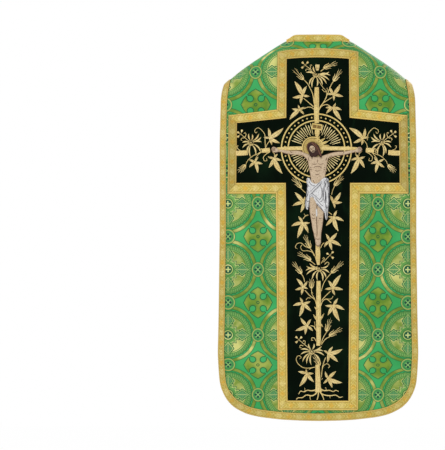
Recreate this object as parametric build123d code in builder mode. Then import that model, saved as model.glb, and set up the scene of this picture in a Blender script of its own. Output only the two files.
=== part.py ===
from build123d import *
import math
import os

os.makedirs("parts", exist_ok=True)

# Roman ("fiddleback") chasuble, hanging as it does on a wide shaped hanger or on
# the wearer.  Millimetres, +Z up.  The front of the vestment faces -Y, the back
# (the side with the cross) faces +Y.  The origin is the middle of the neck
# opening, level with the shoulder ridge.

# ---------------------------------------------------------------- dimensions
BACK_HEM_Z = -1159.0        # lowest point of the back
FRONT_HEM_Z = -1128.0       # lowest point of the front
BACK_HINGE_Z = -199.0       # fold line across the upper back, above the cross arms
FRONT_HINGE_Z = -239.7      # fold line at the chest seam
FOLD_GAP = 0.3              # half of the free slit between the folding cloths

R_LINING = (58.5, 59.0)     # distances of the cloth layers from the middle plane
R_INTERLINING = (59.0, 60.5)
R_BROCADE = (60.5, 61.5)
R_GALLOON = (61.5, 63.0)
R_VELVET = (61.5, 62.7)
R_EMBROIDERY = (62.7, 64.7)
R_LINEN = (62.7, 68.2)
R_FIGURE = (62.7, 69.2)

RIDGE_Z = 1.5               # top of the shoulder beside the neck
SHOULDER_RUNS = [           # x from, x to, fall per mm
    (0.0, 90.0, 0.0),
    (90.0, 150.0, 0.525),
    (150.0, 220.0, 0.657),
    (220.0, 302.0, 0.84),
]
TIP_X = 285.0               # shoulder tip
NECK_TOP = 74.0             # half width of the neck opening at the shoulders
NECK_BOTTOM = 63.0          # half width at the chest seam
NECK_FLOOR_Z = -204.0       # lower end of the neck opening
NECK_BACK_Y = 25.0          # back edge of the neck opening

EDGE_GALLOON = 18.0         # width of the galloon round the outer edge
HEM_GALLOON = 22.0
COLUMN_IN, COLUMN_OUT = 99.0, 137.0     # wide galloons on the front

# ------------------------------------------------------------------ outlines
# Half outlines on the wearer's left/right, as (x, z), from the top to the hem.
BACK_TIP = [(285, -130), (287, -138), (291, -152), (294.5, -175), (296, -198.7)]
BACK_SIDE = [
    (296.1, -199.3), (297, -242), (299, -316), (299, -590), (300.4, -700),
    (302, -828), (303.5, -901), (305, -956), (302, -1011), (299, -1048),
    (293, -1066), (285, -1084), (273, -1103), (253, -1121), (216.5, -1139),
    (177, -1148), (110, -1155.5), (52, -1158.3),
]
ARMHOLE = [
    (285, -130), (268, -141), (246, -156), (226, -174), (210, -193),
    (198, -214), (189.5, -239.4),
]
FRONT_SIDE = [
    (189.3, -240.0), (186, -262), (187, -290), (191, -320), (199, -352),
    (216, -395), (234, -428.5), (252, -480), (269, -535), (281, -585),
    (289, -621), (292, -660), (293, -709), (294, -800), (293, -900),
    (290, -960), (286, -1001), (283, -1020), (277, -1038), (268, -1056),
    (252.5, -1074.6), (231, -1093), (191.5, -1111), (150, -1120),
    (100, -1126), (50, -1127.7),
]


def both(half):
    """A closed outline from its right half, listed from the top down."""
    return [(x, z) for x, z in half] + [(-x, z) for x, z in reversed(half)]


def inset(half, width, floor):
    """The right half outline moved inward by a galloon's width."""
    out = []
    for i, (x, z) in enumerate(half):
        x0, z0 = half[max(i - 1, 0)]
        x1, z1 = half[min(i + 1, len(half) - 1)]
        dx, dz = x1 - x0, z1 - z0
        length = math.hypot(dx, dz)
        out.append((x + dz / length * width, z - dx / length * width))
    out = [(x, max(z, floor)) for x, z in out if x > 0]
    return out


def face_at(y):
    """A plane across the vestment at depth y: local x is X, local y is Z."""
    return Plane(origin=(0, y, 0), x_dir=(1, 0, 0), z_dir=(0, -1, 0))


def rows(z_top, z_bottom):
    return [(-400, z_bottom), (400, z_bottom), (400, z_top), (-400, z_top)]


def arch(r, side):
    """One face of a cloth layer over both shoulders: an upright leg and a
    quarter round up to the ridge, carried outward along the falling shoulder."""
    r_in, r_out = r
    s = 1 if side == "back" else -1
    ridge = RIDGE_Z
    with BuildPart() as cloth:
        for x0, x1, fall in SHOULDER_RUNS:
            zc = ridge - R_BROCADE[1]
            with BuildSketch(Plane.YZ.offset(x0)):
                with BuildLine():
                    Line((0, zc + r_in), (0, zc + r_out))
                    ThreePointArc(
                        (0, zc + r_out),
                        (s * r_out * math.sin(math.pi / 4), zc + r_out * math.cos(math.pi / 4)),
                        (s * r_out, zc),
                    )
                    Line((s * r_out, zc), (s * r_out, -420))
                    Line((s * r_out, -420), (s * r_in, -420))
                    Line((s * r_in, -420), (s * r_in, zc))
                    ThreePointArc(
                        (s * r_in, zc),
                        (s * r_in * math.sin(math.pi / 4), zc + r_in * math.cos(math.pi / 4)),
                        (0, zc + r_in),
                    )
                make_face()
            run = x1 - x0
            extrude(amount=run * math.hypot(1, fall), dir=(1, 0, -fall))
            ridge -= run * fall
        mirror(about=Plane.YZ)
    return cloth.part


def trimmed(r, side, outlines, holes=()):
    """The part of a shoulder layer that lies inside outlines in the X-Z plane."""
    cloth = arch(r, side)
    with BuildPart() as piece:
        add(cloth)
        with BuildSketch(face_at(90)):
            for points in outlines:
                Polygon(*points, align=None)
            for points in holes:
                Polygon(*points, align=None, mode=Mode.SUBTRACT)
        extrude(amount=180, mode=Mode.INTERSECT)
    return piece.part


TOP = 60.0
NECK_SLOT = [
    (-NECK_TOP, TOP), (NECK_TOP, TOP), (NECK_TOP, 0), (NECK_BOTTOM, NECK_FLOOR_Z),
    (-NECK_BOTTOM, NECK_FLOOR_Z), (-NECK_TOP, 0),
]
BACK_YOKE = both([(TIP_X, TOP)] + BACK_TIP)
FRONT_YOKE = both([(TIP_X, TOP)] + ARMHOLE)


def shoulder_cloth(r):
    """One cloth layer of the shoulders: upper back, both shoulders and the
    front yoke with the long neck slit."""
    back = trimmed(r, "back", [BACK_YOKE])
    front = trimmed(r, "front", [FRONT_YOKE], [NECK_SLOT])
    with BuildPart() as piece:
        add(back)
        with BuildSketch(Plane.XY.offset(-60)):
            Rectangle(2 * NECK_TOP, 2 * NECK_BACK_Y)
        extrude(amount=120, mode=Mode.SUBTRACT)
        add(front)
    return piece.part


def save(part, name):
    part.label = name
    export_step(part, "parts/" + name + ".step")


# ------------------------------------------------------ shoulders: the cloths
with BuildPart() as brocade_shoulders:
    add(shoulder_cloth(R_BROCADE))
save(brocade_shoulders.part, "brocade_shoulders")

with BuildPart() as interlining_shoulders:
    add(shoulder_cloth(R_INTERLINING))
save(interlining_shoulders.part, "interlining_shoulders")

with BuildPart() as lining_shoulders:
    add(shoulder_cloth(R_LINING))
save(lining_shoulders.part, "lining_shoulders")

# ---------------------------------------------------- shoulders: the galloons
# Band standing up round the back of the neck, its ends cut off at a slant.
with BuildPart() as neck_galloon_back:
    with BuildSketch(face_at(NECK_BACK_Y + 1.5)):
        Polygon(
            (-95, -3.6), (95, -3.6), (95, 4), (84, 16), (72, 20), (-72, 20), (-84, 16), (-95, 4),
            align=None,
        )
    extrude(amount=1.5)
save(neck_galloon_back.part, "neck_galloon_back")

# Galloons down both sides of the neck opening, from the back band over the
# shoulder to the chest seam.
neck_strip = [(74, TOP), (95, TOP), (95, 0), (84, NECK_FLOOR_Z), (63, NECK_FLOOR_Z), (74, 0)]
neck_strips = [neck_strip, [(-x, z) for x, z in neck_strip]]
back_neck_strips = [[(74, TOP), (95, TOP), (95, -40), (74, -40)], [(-74, TOP), (-95, TOP), (-95, -40), (-74, -40)]]
with BuildPart() as neck_galloon_sides:
    add(trimmed(R_GALLOON, "back", back_neck_strips))
    with BuildSketch(Plane.XY.offset(-60)):
        with Locations((0, 12.4)):
            Rectangle(240, 24.8)
    extrude(amount=120, mode=Mode.INTERSECT)
    add(trimmed(R_GALLOON, "front", neck_strips))
save(neck_galloon_sides.part, "neck_galloon_sides")

# Wide galloon that covers the chest seam.
with BuildPart() as chest_galloon:
    with BuildSketch(face_at(-R_GALLOON[0])):
        Polygon(*both([(181.6, -204), (180.0, -207), (171.2, -238), (171.0, -239)]), align=None)
    extrude(amount=R_GALLOON[1] - R_GALLOON[0])
save(chest_galloon.part, "chest_galloon")

# Edge galloons of the shoulders: down the armhole in front, down the back edge.
arm_outer = [(TIP_X, TOP)] + ARMHOLE
arm_inner = [(171.4, -239.4), (180.7, -207), (195, -181), (213, -160), (236, -141), (257, -127), (267, -112), (267, TOP)]
tip_outer = [(TIP_X, TOP)] + BACK_TIP
tip_inner = [(278, -198.7), (276.5, -175), (273, -155), (269, -138), (267, -126), (267, TOP)]
with BuildPart() as edge_galloon_shoulders:
    add(trimmed(R_GALLOON, "back", [tip_outer + tip_inner, [(-x, z) for x, z in tip_outer + tip_inner]]))
    add(trimmed(R_GALLOON, "front", [arm_outer + arm_inner, [(-x, z) for x, z in arm_outer + arm_inner]]))
save(edge_galloon_shoulders.part, "edge_galloon_shoulders")

# ------------------------------------- shoulders: head of the cross on the back
HEAD_INNER = both([(95, -56.4), (96, -198.7)])
HEAD_OUTER = [(-125, -198.7), (125, -198.7), (122.6, -35), (60, -26), (0, -23), (-60, -26), (-122.6, -35)]
with BuildPart() as velvet_cross_head:
    add(trimmed(R_VELVET, "back", [HEAD_INNER]))
save(velvet_cross_head.part, "velvet_cross_head")

with BuildPart() as cross_frame_head:
    add(trimmed(R_GALLOON, "back", [HEAD_OUTER], [both([(95, -56.4), (96, -150), (96, -199.5)])]))
save(cross_frame_head.part, "cross_frame_head")

# -------------------------------------------------------- embroidery motifs
# Every motif is a flat padded shape on the velvet, as (x, z).


def turned(points, x, z, angle, grow=0.0):
    c, s = math.cos(math.radians(angle)), math.sin(math.radians(angle))
    out = []
    for px, pz in points:
        length = math.hypot(px, pz)
        k = (length + grow) / length if length > 0 else 1
        px, pz = px * k, pz * k
        out.append((x + px * c - pz * s, z + px * s + pz * c))
    return out


def leaf_points(size):
    """Five pointed lobes, the longest one up."""
    out = []
    for i, length in enumerate([1.0, 0.72, 0.62, 0.62, 0.72]):
        a = math.radians(90 + 72 * i)
        b = math.radians(90 + 72 * i + 36)
        out.append((size * length * math.cos(a), size * length * math.sin(a)))
        out.append((size * 0.24 * math.cos(b), size * 0.24 * math.sin(b)))
    return out


def flower_points(size):
    out = []
    for i in range(13):
        a, b = math.radians(90 + 27.69 * i), math.radians(90 + 27.69 * (i + 0.5))
        out.append((size * math.cos(a), size * math.sin(a)))
        out.append((size * 0.55 * math.cos(b), size * 0.55 * math.sin(b)))
    return out


BUD = [(0, 24), (4.5, 16), (7.5, 20), (7.5, 6), (5, -6), (1.5, -12), (-1.5, -12), (-5, -6), (-7.5, 6), (-7.5, 20), (-4.5, 16)]


def crosslet_points():
    out = []
    for i in range(4):
        for a, r in ((-45, 3.0), (-14, 10.0), (-17, 14.5), (17, 14.5), (14, 10.0)):
            t = math.radians(a + 90 * i)
            out.append((r * math.cos(t), r * math.sin(t)))
    return out


def motifs(kind, places, grow=0.0, mode=Mode.ADD):
    for place in places:
        x, z, angle = place[:3]
        size = place[3] if len(place) > 3 else 1.0
        if kind == "leaf":
            points = leaf_points(36 * size)
        elif kind == "flower":
            points = flower_points(33 * size)
        elif kind == "bud":
            points = [(px * size, pz * size) for px, pz in BUD]
        else:
            points = crosslet_points()
        Polygon(*turned(points, x, z, angle, grow), align=None, mode=mode)


def stalk(x0, z0, x1, z1, width):
    dx, dz = x1 - x0, z1 - z0
    length = math.hypot(dx, dz)
    nx, nz = -dz / length * width / 2, dx / length * width / 2
    return [(x0 + nx, z0 + nz), (x0 - nx, z0 - nz), (x1 - nx, z1 - nz), (x1 + nx, z1 + nz)]


# x, z, turn of the motif
BACK_HEAD_LEAVES = [(50, -150, 35), (-53, -154, -35)]
BACK_HEAD_BUDS = [(56, -100, 42), (-52, -106, -28), (-40, -74, -60)]
BACK_HEAD_CROSSLETS = [(30, -76, 45)]
BACK_HEAD_FLOWERS = [(0, -105, 0)]
BACK_LEAVES = [
    (59, -229, 115), (-54, -229, -150), (138, -297, -50), (194.6, -371, 160), (133, -371, 200),
    (-129, -297, 50), (-186, -371, -160), (-125, -371, 160), (62, -494, 30), (60, -563, 160),
    (-64, -489, -28), (-62, -548, -150), (-47, -612, -35), (46, -752, 30), (-55, -752, -30),
    (50, -818, 150), (-55, -826, -150), (42, -880, 35), (-50, -962, -150), (40, -1010, 35), (-46, -1032, -35),
]
BACK_BUDS = [
    (63, -432, 35), (-63.7, -432, -35), (46, -604, 20), (62, -655, 60), (-59, -690, -45),
    (-48, -898, -120), (229, -393, 60), (-229, -393, -60),
]
BACK_CROSSLETS = [(-45, -655, 0), (58, -928, 20), (232, -284, 20), (-230, -284, 20)]
BACK_FLOWERS = [(194, -303, 0, 0.9), (-190, -303, 0, 0.9), (0, -694, 0), (12, -953, 0)]
HALO_X, HALO_Z = 4.0, -331.8

FIGURE_BODY = [
    (10, -352), (30, -347), (60, -338), (95, -331), (122, -327), (136, -324), (141, -333), (134, -342),
    (118, -340), (90, -346), (60, -353), (40, -358), (31, -372), (30, -388), (24, -412), (24, -440),
    (24, -500), (23, -540), (14, -580), (9, -596), (9, -612), (0, -624), (-9, -612), (-9, -596),
    (-12, -580), (-21, -540), (-22, -500), (-22, -440), (-22, -412), (-28, -388), (-31, -372), (-40, -358),
    (-60, -352), (-90, -345), (-112, -338), (-128, -341), (-135, -333), (-130, -324), (-116, -328),
    (-90, -334), (-60, -341), (-30, -347), (-6, -352),
]
LINEN = [
    (33, -417), (37, -440), (36, -470), (38, -495), (34, -516), (28, -508), (24, -480), (15, -468), (5, -486),
    (-10, -508), (-19, -520), (-24, -546), (-29, -546), (-31, -520), (-36, -470), (-32, -430), (-28, -416),
    (-14, -420), (4, -430), (20, -424),
]


def figure_outline(grow, mode):
    """The whole figure, for leaving room round it."""
    with Locations((9, -333)):
        Circle(27 + grow, mode=mode)
    Polygon(*FIGURE_BODY, align=None, mode=mode)
    Polygon(*LINEN, align=None, mode=mode)
    if grow:
        for outline in (FIGURE_BODY, LINEN):
            for (x0, z0), (x1, z1) in zip(outline, outline[1:] + outline[:1]):
                Polygon(*stalk(x0, z0, x1, z1, 2 * grow), align=None, mode=mode)
                with Locations((x0, z0)):
                    Circle(grow, mode=mode)


def plaque(grow, mode):
    with Locations((2, -262)):
        Rectangle(30 + 2 * grow, 19 + 2 * grow, mode=mode)


def on_velvet(y_side, r):
    return face_at(r[1]) if y_side == "back" else face_at(-r[0])


THICK = R_EMBROIDERY[1] - R_EMBROIDERY[0]
HEAD_ROWS = rows(-40, -198.5)
BACK_ROWS = rows(-199.5, -1300)
FRONT_ROWS = rows(-240.2, -1300)

# ---- head of the cross, above the fold line
with BuildPart() as flower_head:
    with BuildSketch(face_at(R_EMBROIDERY[1])):
        motifs("flower", BACK_HEAD_FLOWERS)
    extrude(amount=THICK)
save(flower_head.part, "flower_head")

with BuildPart() as leaves_head:
    with BuildSketch(face_at(R_EMBROIDERY[1])):
        motifs("leaf", BACK_HEAD_LEAVES)
        Polygon(*HEAD_ROWS, align=None, mode=Mode.INTERSECT)
        motifs("flower", BACK_HEAD_FLOWERS, 1, Mode.SUBTRACT)
    extrude(amount=THICK)
save(leaves_head.part, "leaves_head")

with BuildPart() as buds_head:
    with BuildSketch(face_at(R_EMBROIDERY[1])):
        motifs("bud", BACK_HEAD_BUDS)
        motifs("flower", BACK_HEAD_FLOWERS, 1, Mode.SUBTRACT)
        motifs("leaf", BACK_HEAD_LEAVES, 1, Mode.SUBTRACT)
    extrude(amount=THICK)
save(buds_head.part, "buds_head")

with BuildPart() as crosslet_head:
    with BuildSketch(face_at(R_EMBROIDERY[1])):
        motifs("crosslet", BACK_HEAD_CROSSLETS)
        motifs("flower", BACK_HEAD_FLOWERS, 1, Mode.SUBTRACT)
        motifs("bud", BACK_HEAD_BUDS, 1, Mode.SUBTRACT)
    extrude(amount=THICK)
save(crosslet_head.part, "crosslet_head")

with BuildPart() as stem_head:
    with BuildSketch(face_at(R_EMBROIDERY[1])):
        Polygon(*stalk(0, -130, 0, -240, 14), align=None)
        for x0, z0, x1, z1 in ((0, -190, 40, -160), (0, -194, -42, -166), (4, -160, 52, -108), (-4, -160, -54, -112)):
            Polygon(*stalk(x0, z0, x1, z1, 3), align=None)
        Polygon(*HEAD_ROWS, align=None, mode=Mode.INTERSECT)
        motifs("flower", BACK_HEAD_FLOWERS, 1, Mode.SUBTRACT)
        motifs("leaf", BACK_HEAD_LEAVES, 1, Mode.SUBTRACT)
        motifs("bud", BACK_HEAD_BUDS, 1, Mode.SUBTRACT)
        motifs("crosslet", BACK_HEAD_CROSSLETS, 1, Mode.SUBTRACT)
    extrude(amount=THICK)
save(stem_head.part, "stem_head")

# ------------------------------------------------------- back: the cloths
BACK_OUTLINE = both(BACK_SIDE)


def back_cloth(r):
    with BuildPart() as piece:
        with BuildSketch(face_at(r[1])):
            Polygon(*BACK_OUTLINE, align=None)
        extrude(amount=r[1] - r[0])
    return piece.part


for layer, name in ((R_BROCADE, "brocade_back"), (R_INTERLINING, "interlining_back"), (R_LINING, "lining_back")):
    save(back_cloth(layer), name)

BACK_EDGE_INNER = inset(BACK_SIDE, EDGE_GALLOON, BACK_HEM_Z + HEM_GALLOON - 3)
BACK_EDGE_INNER = [(BACK_EDGE_INNER[0][0], -190)] + BACK_EDGE_INNER
with BuildPart() as edge_galloon_back:
    with BuildSketch(face_at(R_GALLOON[1])):
        Polygon(*BACK_OUTLINE, align=None)
        Polygon(*both(BACK_EDGE_INNER), align=None, mode=Mode.SUBTRACT)
    extrude(amount=R_GALLOON[1] - R_GALLOON[0])
save(edge_galloon_back.part, "edge_galloon_back")

CROSS_INNER = both([
    (96, -199.3), (96, -236.4), (248.6, -251.6), (248.6, -434), (97.6, -434), (92.6, -1097.7),
])
CROSS_OUTER = both([
    (125, -199.3), (125.5, -210.5), (275, -228.7), (275, -467.3), (128, -467.3), (122, -1127),
])
with BuildPart() as velvet_cross:
    with BuildSketch(face_at(R_VELVET[1])):
        Polygon(*CROSS_INNER, align=None)
    extrude(amount=R_VELVET[1] - R_VELVET[0])
save(velvet_cross.part, "velvet_cross")

with BuildPart() as cross_frame:
    with BuildSketch(face_at(R_GALLOON[1])):
        Polygon(*CROSS_OUTER, align=None)
        Polygon(*both([(96, -190), (96, -236.4), (248.6, -251.6), (248.6, -434), (97.6, -434), (92.6, -1097.7)]),
                align=None, mode=Mode.SUBTRACT)
    extrude(amount=R_GALLOON[1] - R_GALLOON[0])
save(cross_frame.part, "cross_frame")

# --------------------------------------------------- back: the embroidery
with BuildPart() as figure_body:
    with BuildSketch(face_at(R_FIGURE[1])):
        Polygon(*FIGURE_BODY, align=None)
        Polygon(*LINEN, align=None, mode=Mode.SUBTRACT)
        with Locations((12, -333)):
            Ellipse(14.5, 20.5, mode=Mode.SUBTRACT)
    extrude(amount=R_FIGURE[1] - R_FIGURE[0])
save(figure_body.part, "figure_body")

with BuildPart() as figure_head:
    with BuildSketch(face_at(R_FIGURE[1])):
        with Locations((12, -333)):
            Ellipse(14, 20)
    extrude(amount=R_FIGURE[1] - R_FIGURE[0])
save(figure_head.part, "figure_head")

with BuildPart() as loincloth:
    with BuildSketch(face_at(R_LINEN[1])):
        Polygon(*LINEN, align=None)
    extrude(amount=R_LINEN[1] - R_LINEN[0])
save(loincloth.part, "loincloth")

with BuildPart() as nimbus:
    with BuildSketch(face_at(R_EMBROIDERY[1])):
        with Locations((9, -333)):
            Circle(27)
        Polygon(*FIGURE_BODY, align=None, mode=Mode.SUBTRACT)
        with Locations((12, -333)):
            Ellipse(14.5, 20.5, mode=Mode.SUBTRACT)
    extrude(amount=THICK)
save(nimbus.part, "nimbus")

with BuildPart() as title_plaque:
    with BuildSketch(face_at(R_EMBROIDERY[1])):
        plaque(0, Mode.ADD)
    extrude(amount=THICK)
save(title_plaque.part, "title_plaque")


def cross_bars(grow, mode):
    Polygon(*stalk(0, -190, 0, -310, 14 + 2 * grow), align=None, mode=mode)
    Polygon(*stalk(0, -600, 0, -1085, 13 + 2 * grow), align=None, mode=mode)
    Polygon(*stalk(235, -328, -235, -328, 12 + 2 * grow), align=None, mode=mode)


with BuildPart() as halo_rings:
    with BuildSketch(face_at(R_EMBROIDERY[1])):
        with Locations((HALO_X, HALO_Z)):
            Circle(109)
            Circle(104.5, mode=Mode.SUBTRACT)
            Circle(88.5)
            Circle(84, mode=Mode.SUBTRACT)
        figure_outline(0.8, Mode.SUBTRACT)
        cross_bars(0.8, Mode.SUBTRACT)
        motifs("leaf", BACK_LEAVES, 1, Mode.SUBTRACT)
        motifs("bud", BACK_BUDS, 1, Mode.SUBTRACT)
    extrude(amount=THICK)
save(halo_rings.part, "halo_rings")

with BuildPart() as halo_beads:
    with BuildSketch(face_at(R_EMBROIDERY[1])):
        for i in range(36):
            a = math.radians(10 * i + 5)
            with Locations((HALO_X + 96.5 * math.cos(a), HALO_Z + 96.5 * math.sin(a))):
                Circle(2.6)
        figure_outline(0.8, Mode.SUBTRACT)
        cross_bars(0.8, Mode.SUBTRACT)
        motifs("leaf", BACK_LEAVES, 1, Mode.SUBTRACT)
        motifs("bud", BACK_BUDS, 1, Mode.SUBTRACT)
    extrude(amount=THICK)
save(halo_beads.part, "halo_beads")

with BuildPart() as halo_rays:
    with BuildSketch(face_at(R_EMBROIDERY[1])):
        for i in range(60):
            a = math.radians(6 * i + 3)
            r0, r1 = 40, (78 if i % 2 else 70)
            Polygon(
                *stalk(HALO_X + r0 * math.cos(a), HALO_Z + r0 * math.sin(a),
                       HALO_X + r1 * math.cos(a), HALO_Z + r1 * math.sin(a), 2.4),
                align=None,
            )
        figure_outline(0.8, Mode.SUBTRACT)
        cross_bars(0.8, Mode.SUBTRACT)
        plaque(0.8, Mode.SUBTRACT)
    extrude(amount=THICK)
save(halo_rays.part, "halo_rays")

with BuildPart() as flowers_back:
    with BuildSketch(face_at(R_EMBROIDERY[1])):
        motifs("flower", BACK_FLOWERS)
    extrude(amount=THICK)
save(flowers_back.part, "flowers_back")

with BuildPart() as leaves_back:
    with BuildSketch(face_at(R_EMBROIDERY[1])):
        motifs("leaf", BACK_LEAVES)
        Polygon(*BACK_ROWS, align=None, mode=Mode.INTERSECT)
        figure_outline(0.8, Mode.SUBTRACT)
        motifs("flower", BACK_FLOWERS, 1, Mode.SUBTRACT)
        cross_bars(0.8, Mode.SUBTRACT)
    extrude(amount=THICK)
save(leaves_back.part, "leaves_back")

with BuildPart() as buds_back:
    with BuildSketch(face_at(R_EMBROIDERY[1])):
        motifs("bud", BACK_BUDS)
        figure_outline(0.8, Mode.SUBTRACT)
        motifs("flower", BACK_FLOWERS, 1, Mode.SUBTRACT)
        motifs("leaf", BACK_LEAVES, 1, Mode.SUBTRACT)
        cross_bars(0.8, Mode.SUBTRACT)
    extrude(amount=THICK)
save(buds_back.part, "buds_back")

with BuildPart() as crosslets_back:
    with BuildSketch(face_at(R_EMBROIDERY[1])):
        motifs("crosslet", BACK_CROSSLETS)
        motifs("flower", BACK_FLOWERS, 1, Mode.SUBTRACT)
        motifs("leaf", BACK_LEAVES, 1, Mode.SUBTRACT)
        motifs("bud", BACK_BUDS, 1, Mode.SUBTRACT)
        cross_bars(0.8, Mode.SUBTRACT)
    extrude(amount=THICK)
save(crosslets_back.part, "crosslets_back")

# Trunk, beam and roots of the living cross, which carry the figure.
with BuildPart() as stem_back:
    with BuildSketch(face_at(R_EMBROIDERY[1])):
        cross_bars(0, Mode.ADD)
        for x1 in (-60, -38, -16, 16, 38, 60):
            Polygon(*stalk(0, -1062, x1, -1092, 5), align=None)
        Polygon(*BACK_ROWS, align=None, mode=Mode.INTERSECT)
        figure_outline(0.8, Mode.SUBTRACT)
        plaque(0.8, Mode.SUBTRACT)
        motifs("flower", BACK_FLOWERS, 1, Mode.SUBTRACT)
    extrude(amount=THICK)
save(stem_back.part, "stem_back")

# ------------------------------------------------------ front: the cloths
FRONT_OUTLINE = both(FRONT_SIDE)


def front_cloth(r):
    with BuildPart() as piece:
        with BuildSketch(face_at(-r[0])):
            Polygon(*FRONT_OUTLINE, align=None)
        extrude(amount=r[1] - r[0])
    return piece.part


for layer, name in ((R_BROCADE, "brocade_front"), (R_INTERLINING, "interlining_front"), (R_LINING, "lining_front")):
    save(front_cloth(layer), name)

FRONT_EDGE_INNER = inset(FRONT_SIDE, EDGE_GALLOON, FRONT_HEM_Z + HEM_GALLOON - 1)
FRONT_EDGE_INNER = [(FRONT_EDGE_INNER[0][0], -230)] + FRONT_EDGE_INNER
with BuildPart() as edge_galloon_front:
    with BuildSketch(face_at(-R_GALLOON[0])):
        Polygon(*FRONT_OUTLINE, align=None)
        Polygon(*both(FRONT_EDGE_INNER), align=None, mode=Mode.SUBTRACT)
    extrude(amount=R_GALLOON[1] - R_GALLOON[0])
save(edge_galloon_front.part, "edge_galloon_front")

# Two wide galloons from the chest seam to the hem, with the velvet between.
with BuildPart() as column_galloons:
    with BuildSketch(face_at(-R_GALLOON[0])):
        for s in (-1, 1):
            Polygon(
                (s * COLUMN_IN, -240), (s * COLUMN_OUT, -240), (s * COLUMN_OUT, -1098), (s * COLUMN_IN, -1098),
                align=None,
            )
    extrude(amount=R_GALLOON[1] - R_GALLOON[0])
save(column_galloons.part, "column_galloons")

with BuildPart() as velvet_column:
    with BuildSketch(face_at(-R_VELVET[0])):
        Polygon((-COLUMN_IN, -240), (COLUMN_IN, -240), (COLUMN_IN, -1102), (-COLUMN_IN, -1102), align=None)
    extrude(amount=R_VELVET[1] - R_VELVET[0])
save(velvet_column.part, "velvet_column")

# -------------------------------------------------- front: the embroidery
FRONT_FLOWERS = [(-2, -300, 0), (-8, -568, 0), (-2, -748, 0), (-6, -1020, 0)]
FRONT_LEAVES = [
    (-52, -362, 30), (52, -358, -30), (-48, -424, 150), (58, -424, -150), (-44, -487, 150),
    (58, -600, -150), (-46, -652, 150), (50, -668, -35), (-52, -815, 30), (52, -812, -30),
    (-48, -877, 150), (58, -878, -150), (-46, -946, 150), (54, -1060, -150),
]
FRONT_BUDS = [
    (-40, -268, 40), (-70, -296, 75), (66, -292, -70), (44, -478, -40), (56, -530, -75), (-66, -706, 45),
    (-72, -764, 75), (74, -752, -70), (48, -936, -40), (60, -985, -70),
]
FRONT_CROSSLETS = [(40, -258, 30), (-62, -540, 20), (44, -716, 20), (-62, -1000, 20)]

with BuildPart() as flowers_front:
    with BuildSketch(face_at(-R_EMBROIDERY[0])):
        motifs("flower", FRONT_FLOWERS)
    extrude(amount=THICK)
save(flowers_front.part, "flowers_front")

with BuildPart() as leaves_front:
    with BuildSketch(face_at(-R_EMBROIDERY[0])):
        motifs("leaf", FRONT_LEAVES)
        motifs("flower", FRONT_FLOWERS, 1, Mode.SUBTRACT)
    extrude(amount=THICK)
save(leaves_front.part, "leaves_front")

with BuildPart() as buds_front:
    with BuildSketch(face_at(-R_EMBROIDERY[0])):
        motifs("bud", FRONT_BUDS)
        Polygon(*FRONT_ROWS, align=None, mode=Mode.INTERSECT)
        motifs("flower", FRONT_FLOWERS, 1, Mode.SUBTRACT)
        motifs("leaf", FRONT_LEAVES, 1, Mode.SUBTRACT)
    extrude(amount=THICK)
save(buds_front.part, "buds_front")

with BuildPart() as crosslets_front:
    with BuildSketch(face_at(-R_EMBROIDERY[0])):
        motifs("crosslet", FRONT_CROSSLETS)
        Polygon(*FRONT_ROWS, align=None, mode=Mode.INTERSECT)
        motifs("flower", FRONT_FLOWERS, 1, Mode.SUBTRACT)
        motifs("leaf", FRONT_LEAVES, 1, Mode.SUBTRACT)
        motifs("bud", FRONT_BUDS, 1, Mode.SUBTRACT)
    extrude(amount=THICK)
save(crosslets_front.part, "crosslets_front")

with BuildPart() as stem_front:
    with BuildSketch(face_at(-R_EMBROIDERY[0])):
        Polygon(*stalk(-1, -300, -1, -1088, 10), align=None)
        for x, z, _ in FRONT_LEAVES:
            Polygon(*stalk(-1, z - 34, x, z, 3), align=None)
        for x, z, _ in FRONT_BUDS:
            Polygon(*stalk(-1, z - 40, x, z, 3), align=None)
        motifs("flower", FRONT_FLOWERS, 1, Mode.SUBTRACT)
        motifs("leaf", FRONT_LEAVES, 1, Mode.SUBTRACT)
        motifs("bud", FRONT_BUDS, 1, Mode.SUBTRACT)
        motifs("crosslet", FRONT_CROSSLETS, 1, Mode.SUBTRACT)
    extrude(amount=THICK)
save(stem_front.part, "stem_front")
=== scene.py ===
import math

import bpy
import numpy as np
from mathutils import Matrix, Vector


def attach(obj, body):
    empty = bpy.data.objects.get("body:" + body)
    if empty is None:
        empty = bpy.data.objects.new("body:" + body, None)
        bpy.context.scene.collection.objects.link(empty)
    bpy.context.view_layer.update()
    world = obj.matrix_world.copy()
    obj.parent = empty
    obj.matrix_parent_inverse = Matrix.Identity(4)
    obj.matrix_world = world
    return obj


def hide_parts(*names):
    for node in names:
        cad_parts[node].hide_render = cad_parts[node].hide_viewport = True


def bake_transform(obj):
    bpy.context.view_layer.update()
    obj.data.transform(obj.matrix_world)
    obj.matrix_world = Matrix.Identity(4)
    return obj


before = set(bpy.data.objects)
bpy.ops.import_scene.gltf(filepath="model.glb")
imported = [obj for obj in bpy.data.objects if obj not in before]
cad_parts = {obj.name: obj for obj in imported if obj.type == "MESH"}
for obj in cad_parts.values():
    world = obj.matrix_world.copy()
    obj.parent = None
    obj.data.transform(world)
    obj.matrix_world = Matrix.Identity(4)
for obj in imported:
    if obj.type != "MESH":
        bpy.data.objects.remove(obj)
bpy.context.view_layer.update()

# --------------------------------------------------------------------------
# The shape of the hanging cloth.  Everything sewn on it is laid out flat, as
# (x, z) seen from the front or the back, and then carried onto this surface.
# --------------------------------------------------------------------------
R = 0.0615
ARC = R * math.pi / 2
_rx = np.array([0, 60, 84, 90, 105, 136, 165, 194, 221, 245.5, 267, 285, 300, 320]) / 1000
_rz = np.array([5.4, 5.4, 5.1, 4.2, -2.2, -21.2, -40.2, -59.0, -77.8, -96, -114.4, -131, -145, -164]) / 1000
_tx = np.linspace(0, 0.32, 641)
_tz = np.interp(_tx, _rx, _rz)
_full = np.concatenate([_tz[::-1][:-1], _tz])
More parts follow.
